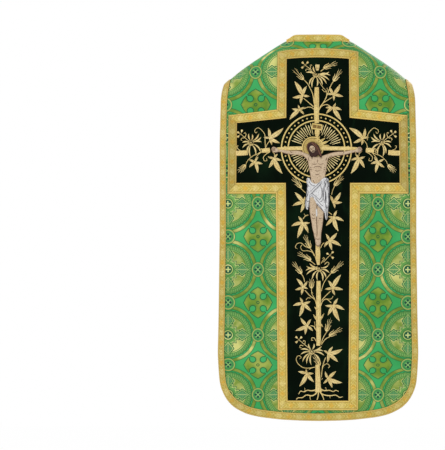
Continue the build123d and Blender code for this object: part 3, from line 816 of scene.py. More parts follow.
    # cross between four roundels: four domed arms with round eyes between them
    qx, qz = hx - px, hz - pz
    qw = qz * 0.94
    qt, qs = qx.max(qw), qx.min(qw)
    body = 43.8 - qt - qs * 0.33 - qs * qs * 0.0125 + (1.0 - qs / 3.0).max(0.0) * 1.2
    ex_, ez_ = qx - 16.6, qz - 18.8
    along = (ex_ + ez_) * 0.70711
    cross_ = (ex_ - ez_) * 0.70711
    eye = hyp(along * 0.92, cross_) - 9.6
    notch = cross_.abs() - 1.9 - ((along - 5.0) * 0.22).max(0.0)
    notch = notch.max((4.0 - along) * 1.0)
    d = body.min(eye).min(notch)
    out = r.ramp(91.0, 91.8)
    col = m.mix(d.band(-1.3, 1.3, 0.5) * out * (body + 1.6).ramp(-0.4, 0.4), col, dark)
    cross_col = m.mix(streak, lin(82, 124, 24), lin(114, 142, 38))
    cross_col = m.mix(glint * 0.56 + qt.ramp(28.0, 44.0) * 0.22, cross_col, lin(178, 184, 90))
    col = m.mix(d.ramp(0.9, 1.9) * out, col, cross_col)
    col = m.mix(d.band(3.1, 3.8, 0.3) * out * 0.4, col, dark)
    rq = hyp(qx, qz)
    col = m.mix(rq.band(2.6, 5.2, 0.5), col, dark)
    # medallions where roundels touch
    for ax, az, rx in ((hx, 0.0, 19.4), (0.0, hz, 22.6)):
        e = hyp((px - ax).abs() / rx, (pz - az).abs() / 22.8)
        col = m.mix(1.0 - e.ramp(1.0, 1.05), col, dark)
        col = m.mix(1.0 - e.ramp(0.93, 0.97), col, m.mix(glint.max(0.30), lin(128, 142, 46), lin(216, 210, 132)))
        col = m.mix(1.0 - e.ramp(0.80, 0.85), col, m.mix(speck.ramp(0.4, 0.6), lin(44, 128, 66), lin(84, 156, 80)))
        col = m.mix(e.band(0.60, 0.66, 0.02), col, dark)
        ex, ez = (px - ax).abs(), (pz - az).abs()
        et, es = ex.max(ez), ex.min(ez)
        dots = 1.0 - hyp(et - 7.2, es * 1.1).ramp(3.2, 4.2)
        col = m.mix(dots, col, lin(8, 60, 48))
        ray = (1.0 - (ex - ez).abs().ramp(0.6, 1.5)) * (1.0 - e.ramp(0.40, 0.50))
        col = m.mix(ray * 0.8, col, lin(168, 196, 118))
    # satin ground: fine ribs, and a painted sheen that wanders (a low noise that brightens and darkens the colour)
    ribs = ((u + v * 0.35) * (2 * math.pi / 0.0011)).sin() * 0.5 + 0.5
    picks = (v * (2 * math.pi / 0.0016)).sin() * 0.5 + 0.5
    painted_light = m.noise(scale=5.0, detail=2.0)
    shade = 0.90 + 0.20 * painted_light + 0.05 * (ribs - 0.5) + 0.10 * (speck - 0.5)
    m.set(Base_Color=m.shade(col, shade), Roughness=0.52 - 0.12 * fleck + 0.1 * painted_light, Metallic=0.0)
    m.b.inputs["Sheen Weight"].default_value = 0.04
    m.b.inputs["Sheen Roughness"].default_value = 0.4
    m.b.inputs["Specular IOR Level"].default_value = 0.24
    raised = d.ramp(0.0, 2.0) * out + r.band(82.8, 90.6, 0.8) + bird.ramp(0.0, 0.1) * inside + field * 0.3
    m.bump(raised * 0.6 + ribs * 0.25 + picks * 0.25 + speck * 0.4, dist=0.0005, strength=0.55)
    return m.m


def galloon_material(name, painted_light=1.0):
    """Gold braid: crossed twill between corded borders, with a soft lozenge of
    deeper gold at even steps and paler silk between them."""
    m = Mat(name)
    u, v = m.uv()
    w = m.attr("edge").abs()
    au = u.abs()
    one = (((v + u) / 0.0026) * math.pi).sin().abs()
    two = (((v - u) / 0.0026) * math.pi).sin().abs()
    hatch = 1.0 - one.min(two).ramp(0.18, 0.42)
    rib = (((v + au * 1.0) / 0.0100).fract()).band(0.10, 0.46, 0.08)
    phase = ((v / 0.0612).fract() - 0.5).abs() * 61.2
    blot = 1.0 - (phase + au * 900.0).ramp(4.0, 12.5)
    pale = 1.0 - ((30.6 - phase) + au * 700.0).ramp(5.0, 15.0)
    n = m.noise(scale=160.0, detail=3.0)
    big = m.noise(m.vec(u * 0.4, v), scale=8.0, detail=2.0)
    col = m.mix(rib, lin(194, 171, 74), lin(212, 194, 102))
    col = m.mix(pale * 0.42, col, lin(236, 218, 144))
    col = m.mix(blot * 0.66, col, lin(222, 170, 44))
    col = m.mix(hatch * (0.50 + 0.34 * big), col, lin(140, 115, 42))
    col = m.mix(n.ramp(0.50, 0.70) * 0.30, col, lin(242, 226, 150))
    col = m.mix(w.band(0.62, 0.70, 0.03), col, lin(150, 112, 40))
    cord = (v * (2 * math.pi / 0.0030) + u * 900.0).sin() * 0.5 + 0.5
    border = w.ramp(0.70, 0.76)
    col = m.mix(border, col, m.mix(cord, lin(184, 151, 60), lin(226, 202, 114)))
    col = m.mix(w.ramp(0.93, 0.99), col, lin(150, 112, 44))
    # the last factor scales the whole colour as painted light: below 1 it paints shade over the braid
    m.set(Base_Color=m.shade(col, (0.84 + 0.34 * big) * painted_light), Roughness=0.44 + 0.16 * n, Metallic=0.15)
    m.b.inputs["Sheen Weight"].default_value = 0.03
    m.b.inputs["Specular IOR Level"].default_value = 0.35
    m.bump((1.0 - hatch) * (1.0 - border) * 0.6 + cord * border * 0.8 + n * 0.3 + blot * 0.3, dist=0.0006, strength=0.7)
    return m.m


def velvet_material(name):
    m = Mat(name)
    pile = m.noise(scale=900.0, detail=2.0)
    nap = m.noise(scale=7.0, detail=3.0)
    brush_and_painted_sheen = m.noise(m.vec(m.uv()[0] * 3.0, m.uv()[1] * 0.8), scale=16.0, detail=2.0)
    col = m.mix(nap.ramp(0.45, 0.8), lin(2, 9, 3), lin(7, 26, 11))
    # lighter streaks: brushed pile, and the velvet's sheen painted in lighter green
    col = m.mix(brush_and_painted_sheen.ramp(0.55, 0.8) * 0.5, col, lin(10, 34, 16))
    col = m.mix(pile.ramp(0.55, 0.75) * 0.22, col, lin(24, 48, 26))
    m.set(Base_Color=col, Roughness=0.96 - 0.08 * pile, Metallic=0.0)
    m.b.inputs["Sheen Weight"].default_value = 0.05
    m.b.inputs["Sheen Roughness"].default_value = 0.32
    m.b.inputs["Sheen Tint"].default_value = lin(60, 130, 76)
    m.b.inputs["Specular IOR Level"].default_value = 0.05
    m.bump(pile + nap * 2.0, dist=0.0006, strength=0.5)
    return m.m


def thread_material(name, low, mid, high, pitch=0.0011, metal=0.25, painted_edge_shade=0.5, rough=0.42, along=0.35, spec=0.35):
    """Satin stitch: threads laid across each padded shape, with painted shade darkening it towards its edges."""
    m = Mat(name, flat=False)
    u, v = m.uv()
    w = m.attr("edge").abs()
    n = m.noise(scale=260.0, detail=3.0)
    big = m.noise(scale=40.0, detail=2.0)
    th = (((v + u * along) / pitch) * (2 * math.pi)).sin() * 0.5 + 0.5
    col = m.mix(th, mid, high)
    col = m.mix(big.ramp(0.35, 0.7) * 0.6, col, mid)
    col = m.mix((1.0 - n.ramp(0.35, 0.5)) * 0.35, col, low)
    # painted shade: towards the edges of each padded shape the colour turns to the low colour
    col = m.mix(w.ramp(0.62, 1.0) * painted_edge_shade, col, low)
    m.set(Base_Color=col, Roughness=rough + 0.2 * n, Metallic=metal)
    m.b.inputs["Sheen Weight"].default_value = 0.03
    m.b.inputs["Specular IOR Level"].default_value = spec
    m.bump(th * 0.7 + n * 0.5, dist=0.0005, strength=0.7)
    return m.m


def satin_material(name, a, b, stitch_line=None):
    m = Mat(name)
    u, v = m.uv()
    crease = m.noise(m.vec(u + v * 0.25, v * 0.7 - u * 0.2), scale=13.0, detail=4.0, rough=0.6)
    pucker = m.noise(m.vec(u * 1.5, v * 0.6), scale=42.0, detail=2.0)
    fine = m.noise(scale=700.0, detail=1.0)
    warp = ((u) * (2 * math.pi / 0.0009)).sin() * 0.5 + 0.5
    # painted shade and light: the colour goes darker and lighter with the crease noise that also raises the bumps
    col = m.mix((crease * 0.75 + pucker * 0.25).ramp(0.38, 0.62), a, b)
    m.set(Base_Color=m.shade(col, 0.94 + 0.10 * fine), Roughness=0.36 + 0.14 * crease, Metallic=0.0)
    m.b.inputs["Sheen Weight"].default_value = 0.06
    m.b.inputs["Specular IOR Level"].default_value = 0.4
    m.bump(crease * 6.0 + pucker * 1.6 + warp * 0.15 + fine * 0.2, dist=0.0011, strength=0.7)
    return m.m


def canvas_material(name):
    m = Mat(name)
    u, v = m.uv()
    a = (u * (2 * math.pi / 0.0014)).sin() * 0.5 + 0.5
    b = (v * (2 * math.pi / 0.0014)).sin() * 0.5 + 0.5
    n = m.noise(scale=60.0, detail=3.0)
    col = m.mix(a * b, lin(196, 190, 170), lin(222, 217, 200))
    m.set(Base_Color=m.shade(col, 0.9 + 0.2 * n), Roughness=0.9 - 0.05 * n)
    m.bump(a * b + n * 0.3, dist=0.0004, strength=0.5)
    return m.m


BROCADE_B = brocade_material("brocade_back_weave", 0.1862, 0.2012, -0.0950, (1.022, 0.982), 0.022)
BROCADE_F = brocade_material("brocade_front_weave", 0.1850, 0.2012, -0.1780)
# one braid in three copies with painted light and shade: lit (1.04), shaded (0.75) and half-shaded (0.91)
GALLOON = galloon_material("gold_galloon_weave", 1.04)
GALLOON_PAINTED_SHADE = galloon_material("gold_galloon_weave_painted_shade", 0.75)
GALLOON_PAINTED_HALF_SHADE = galloon_material("gold_galloon_weave_painted_half_shade", 0.91)
VELVET = velvet_material("black_green_velvet")
# gilt, silk and linen threads; each one paints shade on its padded shapes towards their edges
GOLD = thread_material("gilt_satin_stitch", lin(116, 90, 44), lin(208, 180, 110), lin(242, 226, 166))
GOLD_STEM = thread_material("gilt_stem_stitch", lin(122, 94, 44), lin(208, 180, 106), lin(240, 220, 156), pitch=0.0017, along=0.8, painted_edge_shade=0.4)
GOLD_VEIN = thread_material("gilt_vein_stitch", lin(64, 46, 18), lin(112, 84, 36), lin(132, 102, 46), painted_edge_shade=0.3)
GOLD_HALO = thread_material("gilt_halo_stitch", lin(120, 96, 42), lin(204, 176, 98), lin(236, 216, 146), pitch=0.0013, painted_edge_shade=0.3)
GOLD_RAY = thread_material("gilt_ray_stitch", lin(132, 110, 58), lin(224, 202, 134), lin(248, 234, 178), pitch=0.0013, painted_edge_shade=0.2)
GOLD_DEEP = thread_material("gilt_deep_stitch", lin(78, 60, 22), lin(150, 122, 50), lin(176, 148, 70), pitch=0.0013, painted_edge_shade=0.2)
FLESH = thread_material("flesh_silk_stitch", lin(110, 78, 54), lin(188, 164, 134), lin(212, 192, 164), pitch=0.0009, metal=0.0, painted_edge_shade=0.62, rough=0.6, along=0.1, spec=0.2)
FLESH_LINE = thread_material("flesh_line_stitch", lin(58, 34, 22), lin(82, 52, 36), lin(98, 66, 46), pitch=0.0009, metal=0.0, painted_edge_shade=0.2, rough=0.65, spec=0.15)
HAIR = thread_material("hair_silk_stitch", lin(18, 8, 7), lin(44, 24, 20), lin(70, 42, 36), pitch=0.0012, metal=0.0, painted_edge_shade=0.5, rough=0.55, spec=0.2)
LINEN = thread_material("linen_silk_stitch", lin(98, 97, 102), lin(202, 202, 202), lin(230, 230, 230), pitch=0.0010, metal=0.0, painted_edge_shade=0.75, rough=0.6, along=0.1, spec=0.2)
LINEN_LINE = thread_material("linen_line_stitch", lin(42, 41, 46), lin(66, 64, 70), lin(82, 80, 86), metal=0.0, painted_edge_shade=0.1, rough=0.65, spec=0.15)
LINING = satin_material("green_satin_lining", lin(4, 62, 42), lin(9, 80, 56))
CANVAS = canvas_material("interlining_canvas")

# --------------------------------------------------------------------------
# The three cloth layers of the back and of the front
# --------------------------------------------------------------------------
H_BROCADE = (0.0, -0.0010)
H_INTER = (-0.0011, -0.0025)
H_LINING = (-0.0026, -0.0031)
TIPS_BACK_S = np.concatenate([BACK_EDGE[:1], BACK_EDGE_S[1:]])

NECK_TOP, NECK_BOTTOM, NECK_FLOOR = 0.074, 0.063, -0.204


def neck_half(x_at_z):
    return np.interp(-np.asarray(x_at_z, float), [0.0, 0.204], [NECK_TOP, NECK_BOTTOM])


def s_row_z(s):
    """Roughly the height of a row that lies at arc length s, over the neck."""
    return float(z_of_s(np.array([0.07]), np.array([s]))[0])


# back: from the ridge to the hem; the neck cut-out reaches back to y = 25 mm
NECK_BACK_S = float(R * math.asin(0.025 / 0.0615))
back_rows = leg_rows(BACK_EDGE_S, -1.050, 16, 22, -0.262, 96)


def neck_cut_back(s):
    """Half width of the neck opening at a row of the back."""
    return NECK_TOP if s < NECK_BACK_S + 1e-6 else 0.0


def split_rows(rows, s_cut):
    arch = [(xe, f) for xe, f in rows if float(f(np.array([0.0]))[0]) <= s_cut + 1e-9]
    rest = [(xe, f) for xe, f in rows if float(f(np.array([0.0]))[0]) > s_cut + 1e-9]
    return arch, rest


def insert_row(rows, s, edge):
    xe = float(bisect_x(edge, np.array([s]))[0])
    rows = rows + [(xe, lambda x, s=s: np.full_like(x, s))]
    rows.sort(key=lambda r: float(r[1](np.array([0.0]))[0]))
    return rows


back_rows = insert_row([r for r in back_rows if abs(float(r[1](np.array([0.0]))[0]) - NECK_BACK_S) > 0.0015], NECK_BACK_S, BACK_EDGE_S)


def half_grid(rows, inner, cols, sign):
    """x from the neck's edge to the outer edge on one shoulder."""
    X, S = [], []
    for (xe, f), xi in zip(rows, inner):
        x = xi + (xe - xi) * np.linspace(0, 1, cols)
        X.append(sign * x)
        S.append(f(x))
    return np.array(X), np.array(S)


def back_grids():
    arch, rest = split_rows(back_rows, NECK_BACK_S)
    g = []
    for sign in (1, -1):
        g.append(half_grid(arch, [NECK_TOP] * len(arch), 40, sign))
    # below the neck cut: the same outer columns, and the middle filled in
    rows = [arch[-1]] + rest
    for sign in (1, -1):
        inner = [NECK_TOP] * len(rows)
        g.append(half_grid(rows, inner, 40, sign))
    X, S = [], []
    for xe, f in rows:
        x = np.linspace(-NECK_TOP, NECK_TOP, 25)
        X.append(x)
        S.append(f(x))
    g.append((np.array(X), np.array(S)))
    # hem with its round corners
    z_from = -1.050
    xl = float(edge_x(BACK_EDGE_S, z_from))
    xs = np.concatenate([
        -(NECK_TOP + (xl - NECK_TOP) * np.linspace(0, 1, 40))[::-1][:-1],
        np.linspace(-NECK_TOP, NECK_TOP, 25),
        (NECK_TOP + (xl - NECK_TOP) * np.linspace(0, 1, 40))[1:],
    ])
    g.append(hem_columns(BACK_EDGE_S, z_from, xs, 14))
    return g


def hem_columns(edge, z_from, xs, n):
    zb = edge_bottom(edge, np.abs(xs), z_from + 1e-9)
    zb = np.minimum(zb, z_from - 0.0012)
    X, S = [], []
    for i in range(n + 1):
        t = i / n
        z = z_from * (1 - t) + zb * t
        X.append(xs)
        S.append(ARC + zc(xs) - z)
    return np.array(X), np.array(S)


# front: from the ridge to the hem, with the long neck slit down to the chest
front_rows = leg_rows(FRONT_EDGE_S, -0.990, 16, 22, -0.245, 92)


def front_grids():
    rows = []
    for xe, f in front_rows:
        s0 = float(f(np.array([0.0]))[0])
        rows.append((xe, f, s0))
    g = []
    # a row exactly at the floor of the neck slit
    z_floor = NECK_FLOOR

    def floor_row(x):
        return ARC + zc(x) - z_floor

    s_floor = float(floor_row(np.array([0.0]))[0])
    above = [(xe, f) for xe, f, s in rows if s < s_floor - 0.002]
    below = [(xe, f) for xe, f, s in rows if s > s_floor + 0.002]
    xe_floor = float(edge_x(FRONT_EDGE_S, z_floor))
    # rows near the tip are not level: push the last ones above the floor row
    above.append((xe_floor, floor_row))
    for sign in (1, -1):
        inner = []
        for xe, f in above:
            x = np.array([NECK_TOP])
            z = float(z_of_s(x, f(x))[0])
            inner.append(float(neck_half(z)))
        inner[-1] = NECK_BOTTOM
        g.append(half_grid(above, inner, 36, sign))
    rest = [above[-1]] + below
    for sign in (1, -1):
        g.append(half_grid(rest, [NECK_BOTTOM] * len(rest), 36, sign))
    X, S = [], []
    for xe, f in rest:
        x = np.linspace(-NECK_BOTTOM, NECK_BOTTOM, 21)
        X.append(x)
        S.append(f(x))
    g.append((np.array(X), np.array(S)))
    z_from = -0.990
    xl = float(edge_x(FRONT_EDGE_S, z_from))
    xs = np.concatenate([
        -(NECK_BOTTOM + (xl - NECK_BOTTOM) * np.linspace(0, 1, 36))[::-1][:-1],
        np.linspace(-NECK_BOTTOM, NECK_BOTTOM, 21),
        (NECK_BOTTOM + (xl - NECK_BOTTOM) * np.linspace(0, 1, 36))[1:],
    ])
    g.append(hem_columns(FRONT_EDGE_S, z_from, xs, 16))
    return g


def finish_piece(o, side, slot, *nodes):
    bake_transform(o)
    if nodes:
        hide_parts(*nodes)
    return o


gb, gf = back_grids(), front_grids()
back_brocade = sheet_from_grids("back_brocade_cloth", 1, gb, *H_BROCADE, [BROCADE_B])
back_canvas = sheet_from_grids("back_canvas_cloth", 1, gb, *H_INTER, [CANVAS])
back_lining = sheet_from_grids("back_lining_cloth", 1, gb, *H_LINING, [LINING])
front_brocade = sheet_from_grids("front_brocade_cloth", -1, gf, *H_BROCADE, [BROCADE_F])
front_canvas = sheet_from_grids("front_canvas_cloth", -1, gf, *H_INTER, [CANVAS])
front_lining = sheet_from_grids("front_lining_cloth", -1, gf, *H_LINING, [LINING])
finish_piece(back_brocade, 1, "brocade", "brocade_back", "brocade_shoulders")
finish_piece(back_canvas, 1, "interlining", "interlining_back", "interlining_shoulders")
finish_piece(back_lining, 1, "lining", "lining_back", "lining_shoulders")
finish_piece(front_brocade, -1, "brocade", "brocade_front")
finish_piece(front_canvas, -1, "interlining", "interlining_front")
finish_piece(front_lining, -1, "lining", "lining_front")

# --------------------------------------------------------------------------
# Galloons and velvet.  Their outlines are (x, z) seen from front or back.
# --------------------------------------------------------------------------
H_VELVET = 0.0012
H_COLUMN = 0.0020
H_CHEST = 0.0025
H_EDGE = 0.0029


def fl(points):
    """Seen positions turned into positions on the flat cloth."""
    p = np.asarray(points, float)
    return np.stack([p[:, 0], flat_v(p[:, 0], s_of_z(p[:, 0], p[:, 1]))], axis=1)


def dense(points, gap=0.004):
    p = np.asarray(points, float)
    out = []
    for a, b in zip(p[:-1], p[1:]):
        n = max(int(np.linalg.norm(b - a) / gap), 1)
        out.append(a + (b - a) * (np.arange(n)[:, None] / n))
    out.append(p[-1:])
    return np.concatenate(out)


def braid_runs(mesh, side, outer, inner, top, base=0.0, gap=0.0045, crown=0.22, across=8, mats=None):
    """Straight braid from corner to corner, mitred at each corner."""
    v0 = 0.0
    for k in range(len(outer) - 1):
        a0, a1, b0, b1 = (np.asarray(p, float) for p in (outer[k], outer[k + 1], inner[k], inner[k + 1]))
        n = max(int(max(np.linalg.norm(a1 - a0), np.linalg.norm(b1 - b0)) / gap), 2)
        A, B = lerp_line(a0, a1, n), lerp_line(b0, b1, n)
        m0, m1 = (a0 + b0) / 2, (a1 + b1) / 2
        d = (a1 - a0) / np.linalg.norm(a1 - a0) + (b1 - b0) / np.linalg.norm(b1 - b0)
        d /= np.linalg.norm(d)
        nor = np.array([-d[1], d[0]])
        w0 = abs(float(np.dot(a0 - b0, nor))) / 2
        mids = (A + B) / 2
        t = np.linspace(-1, 1, across + 1)
        us = np.concatenate([[-1.0], t, [1.0]])
        prof = np.concatenate([[base], top - crown * (top - base) * np.abs(t) ** 4, [base]])
        a = (1 - us[None, :, None]) / 2
        pts = A[:, None, :] * a + B[:, None, :] * (1 - a)
        rows, cols = len(A), len(us)
        U = ((pts - m0) @ nor)
        Vv = ((pts - m0) @ d) + v0
        co = lift_flat(side, pts[..., 0].ravel(), pts[..., 1].ravel(), np.broadcast_to(prof, (rows, cols)).ravel())
        f = grid_faces(rows, cols).tolist()
        for i in range(rows - 1):
            a1_, b1_ = i * cols, i * cols + cols - 1
            f.append([a1_, a1_ + cols, b1_ + cols, b1_])
        f.append(list(range(cols)))
        f.append([(rows - 1) * cols + i for i in range(cols)][::-1])
        w = np.clip(U / max(w0, 1e-6), -1, 1)
        w[:, 0] = w[:, 1]
        w[:, -1] = w[:, -2]
        mesh.add(co, f, np.stack([U, Vv], axis=-1).reshape(-1, 2), w.ravel(), 0 if mats is None else mats[k])
        v0 += float(np.linalg.norm(m1 - m0))


def flip(points):
    p = np.asarray(points, float)
    return np.stack([-p[:, 0], p[:, 1]], axis=1)


def inward(line, width):
    """A line moved to its left by width (a number or one for each point)."""
    p = np.asarray(line, float)
    t = np.gradient(p, axis=0)
    t /= np.maximum(np.linalg.norm(t, axis=1, keepdims=True), 1e-12)
    n = np.stack([-t[:, 1], t[:, 0]], axis=1)
    return p + n * (np.asarray(width) * np.ones(len(p)))[:, None]


def edge_line(edge, z_stop=None):
    """The whole outer edge of a panel on the flat cloth: from the ridge down
    one side, round the hem, and up to the ridge on the other side."""
    s = np.linspace(0, ARC, 26)
    x = bisect_x(edge, s)
    top = np.stack([x, flat_v(x, s)], axis=1)
    rest = edge[1:]
    rest = rest[rest[:, 1] < top[-1, 1] - 0.002]
    rest = dense(rest, 0.0042)
    half = np.concatenate([top, rest])
    full = np.concatenate([half, flip(half[::-1][1:])])
    # even out and ease
    d = np.concatenate([[0], np.cumsum(np.linalg.norm(np.diff(full, axis=0), axis=1))])
    n = int(d[-1] / 0.0045)
    q = np.stack([np.interp(np.linspace(0, d[-1], n + 1), d, full[:, i]) for i in range(2)], axis=1)
    for _ in range(6):
        q[1:-1] = 0.25 * q[:-2] + 0.5 * q[1:-1] + 0.25 * q[2:]
    return q


def edge_braid(name, side, edge, side_w, hem_w, hem_z):
    m = Mesh()
    line = edge_line(edge)
    wide = side_w + (hem_w - side_w) * step((hem_z - line[:, 1]) / 0.05)
    # the line runs clockwise (down on +x, round, up on -x), so inward is to its right
    outer = inward(line, 0.0007)
    inner = inward(line, -wide)
    # the same for points above the ridge line: stay on the cloth
    strip_flat(m, side, outer, inner, 0.0, H_EDGE, across=8, rim_to=-0.0033, crown=0.16)
    # the edge braid takes the half-shaded copy of the braid: painted half shade all round
    return m.make(name, [GALLOON_PAINTED_HALF_SHADE])


def strip_flat(mesh, side, outer, inner, base, top, across=6, rim_to=None, crown=0.25, v0=0.0, mat=0):
    outer, inner = np.asarray(outer, float), np.asarray(inner, float)
    mid = (outer + inner) / 2
    v = np.concatenate([[0], np.cumsum(np.linalg.norm(np.diff(mid, axis=0), axis=1))]) + v0
    width = np.linalg.norm(outer - inner, axis=1)
    t = np.linspace(-1, 1, across + 1)
    us = np.concatenate([[-1.0], t, [1.0]])
    prof = np.concatenate([[base if rim_to is None else rim_to], top - crown * (top - base) * np.abs(t) ** 4, [base]])
    a = (1 - us[None, :, None]) / 2
    pts = outer[:, None, :] * a + inner[:, None, :] * (1 - a)
    n, m = len(outer), len(us)
    co = lift_flat(side, pts[..., 0].ravel(), pts[..., 1].ravel(), np.broadcast_to(prof, (n, m)).ravel())
    uv = np.stack([us[None, :] * width[:, None] / 2, np.broadcast_to(v[:, None], (n, m))], axis=-1)
    w = np.broadcast_to(us[None, :], (n, m))
    f = grid_faces(n, m).tolist()
    for i in range(n - 1):
        a0, b0 = i * m, i * m + m - 1
        f.append([a0, a0 + m, b0 + m, b0])
    f.append(list(range(m)))
    f.append([(n - 1) * m + i for i in range(m)][::-1])
    mesh.add(co, f, uv.reshape(-1, 2), w.ravel(), mat)


def lift_flat(side, x, v, h):
    """h above the cloth at flat position (x, v); past the ridge it carries on
    over to the other side."""
    x, v, h = np.asarray(x, float), np.asarray(v, float), np.asarray(h, float)
    s = zc(x) + ARC - v
    over = s < 0
    a = lift_s(side, x, np.maximum(s, 0), h)
    if over.any():
        b = lift_s(-side, x, np.maximum(-s, 0), h)
        a = np.where(over[..., None], b, a)
    return a


lift = lift_flat          # everything below is laid out on the flat cloth

# ---- outer edges
eb = edge_braid("edge_galloon_braid_back", 1, BACK_EDGE_S, 0.018, 0.022, -1.060)
finish_piece(eb, 1, "galloon", "edge_galloon_back", "edge_galloon_shoulders")
ef = edge_braid("edge_galloon_braid_front", -1, FRONT_EDGE_S, 0.0175, 0.023, -1.030)
finish_piece(ef, -1, "galloon", "edge_galloon_front")

# ---- frame of the cross on the back
OUT = mm([(125.2, -205), (125.5, -210.5), (272.5, -228.2), (276, -467.3), (128, -467.3), (122, -1127)])
INN = mm([(95.8, -228), (96, -236.4), (246.8, -251.4), (248.8, -434), (97.6, -434), (92.6, -1097.7)])
# painted light and shade: each run of the braid gets the lit, the shaded or the half-shaded copy of the braid
FRAME_PAINTED_SHADES = [2, 0, 1, 0, 0, 0, 0, 0, 1, 0, 2]
m = Mesh()
top_out = fl(mm([(122.6, -35), (60, -26), (0, -23), (-60, -26), (-122.6, -35)]))
top_in = fl(mm([(95, -56.4), (60, -53.4), (0, -51.6), (-60, -53.4), (-95, -56.4)]))
ow = np.concatenate([top_out[:1], OUT[1:]])
iw = np.concatenate([top_in[:1], INN[1:]])
outer = np.concatenate([ow, flip(ow[::-1])])
inner = np.concatenate([iw, flip(iw[::-1])])
braid_runs(m, 1, outer, inner, H_COLUMN, mats=FRAME_PAINTED_SHADES)
# band across the top, gently bowed
tt = np.linspace(0, 1, 61)
so = np.interp(tt, np.linspace(0, 1, 5), top_out[:, 0]), np.interp(tt, np.linspace(0, 1, 5), top_out[:, 1])
si = np.interp(tt, np.linspace(0, 1, 5), top_in[:, 0]), np.interp(tt, np.linspace(0, 1, 5), top_in[:, 1])
to, ti = np.stack(so, axis=1), np.stack(si, axis=1)
for _ in range(30):
    to[1:-1] = 0.25 * to[:-2] + 0.5 * to[1:-1] + 0.25 * to[2:]
    ti[1:-1] = 0.25 * ti[:-2] + 0.5 * ti[1:-1] + 0.25 * ti[2:]
# the top band takes the half-shaded copy of the braid: painted half shade
strip_flat(m, 1, to, ti, 0.0, H_COLUMN, across=8, crown=0.22, mat=2)
cf = m.make("cross_frame_braid", [GALLOON, GALLOON_PAINTED_SHADE, GALLOON_PAINTED_HALF_SHADE])
finish_piece(cf, 1, "galloon", "cross_frame", "cross_frame_head")

# ---- velvet of the cross and of the front column


def slab(x_lines, v_lines):
    """A grid from left/right x and a list of v rows."""
    X, S = [], []
    for v, (xa, xb, cols) in zip(v_lines, x_lines):
        x = np.linspace(xa, xb, cols)
        X.append(x)
        S.append(zc(x) + ARC - (v if np.ndim(v) == 0 else v))
    return np.array(X), np.array(S)


vtop = float(fl(mm([(0, -46)]))[0, 1])
rows_v = np.linspace(vtop, -1.1005, 150)
gc = slab([(-0.0985, 0.0985, 27)] * len(rows_v), rows_v)
arms = []
for sign in (1, -1):
    X, S = [], []
    for i in range(29):
        t = i / 28
        x = np.linspace(0.0985, 0.2506, 23)
        z = (-0.2339 - (x - 0.0985) * 0.0996) * (1 - t) + -0.4366 * t
        X.append(sign * x)
        S.append(zc(x) + ARC - z)
    arms.append((np.array(X), np.array(S)))
vb = sheet_from_grids("velvet_cross_pile", 1, [gc, *arms], H_VELVET, 0.00005, [VELVET])
finish_piece(vb, 1, "velvet", "velvet_cross", "velvet_cross_head")
rows_v = np.linspace(-0.2365, -1.1090, 120)
vf = sheet_from_grids("velvet_column_pile", -1, [slab([(-0.1015, 0.1015, 27)] * len(rows_v), rows_v)], H_VELVET, 0.00005, [VELVET])
finish_piece(vf, -1, "velvet", "velvet_column")

# ---- wide galloons of the front, and the one across the chest
m = Mesh()
for s in (1, -1):
    braid_runs(m, -1, [(s * 0.137, -0.2365), (s * 0.1365, -1.1115)], [(s * 0.099, -0.2365), (s * 0.0985, -1.1130)], H_COLUMN)
cg = m.make("column_galloon_braid", [GALLOON])
finish_piece(cg, -1, "galloon", "column_galloons")

m = Mesh()
xs = np.linspace(0.1785, -0.1785, 84)
bow = -0.0050 * (np.abs(xs) / 0.18) ** 2.2
strip_flat(m, -1, np.stack([xs, -0.2035 + bow], axis=1), np.stack([xs * 0.985, -0.2390 + bow], axis=1), 0.0, H_CHEST, across=8, crown=0.2)
ch = m.make("chest_galloon_braid", [GALLOON])
finish_piece(ch, -1, "galloon", "chest_galloon")

# ---- down both sides of the neck, from the back band to the chest
m = Mesh()
for s in (1, -1):
    # over the back of the shoulder
    sb = np.linspace(NECK_BACK_S + 0.004, 0, 12)
    for part in ("back", "front"):
        if part == "back":
            ss = sb
            xo = np.full_like(ss, 0.0955)
            xi = np.full_like(ss, 0.0735)
            side = 1
        else:
            ss = np.concatenate([np.linspace(0, ARC, 30), ARC + np.linspace(0.003, 0.204 - 0.0595 + 0.006, 36)])
            z = z_of_s(np.full_like(ss, 0.08), ss)
            xi = neck_half(np.minimum(z, 0)) - 0.0005
            xo = xi + 0.0215
            side = -1
        o = np.stack([s * xo, flat_v(xo, ss)], axis=1)
        i = np.stack([s * xi, flat_v(xi, ss)], axis=1)
        strip_flat(m, side, i, o, 0.0, 0.0021, across=8, rim_to=-0.0033, crown=0.2, v0=0.0)
ns = m.make("neck_galloon_braid_sides", [GALLOON])
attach(ns, "shoulders")
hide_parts("neck_galloon_sides")

# ---- band standing up round the back of the neck
m = Mesh()
nx = 81
xs = np.linspace(0.0965, -0.0965, nx)
a = np.abs(xs)
yb = 0.0262 - 0.0065 * (a / 0.0965) ** 4
topz = np.interp(a, [0, 0.066, 0.074, 0.082, 0.089, 0.0965], [0.0205, 0.0200, 0.0185, 0.0135, 0.0085, 0.0052])
for _ in range(3):
    topz[1:-1] = 0.25 * topz[:-2] + 0.5 * topz[1:-1] + 0.25 * topz[2:]
botz = zc(xs) + R * np.sqrt(np.maximum(1 - (yb / 0.0615) ** 2, 0)) - 0.0012
hs = np.linspace(0, 1, 9)
th = 0.0016
ring = []
for i in range(nx):
    sect = []
    for k in hs:
        z = botz[i] * (1 - k) + topz[i] * k
        sect.append((xs[i], yb[i] + th / 2 + 0.0006 * math.sin(math.pi * k) - 0.0010 * k, z))
    for k in hs[::-1]:
        z = botz[i] * (1 - k) + topz[i] * k
        sect.append((xs[i], yb[i] - th / 2 + 0.0006 * math.sin(math.pi * k) - 0.0010 * k, z))
    ring.append(sect)
co = np.array(ring)
n, k = co.shape[:2]
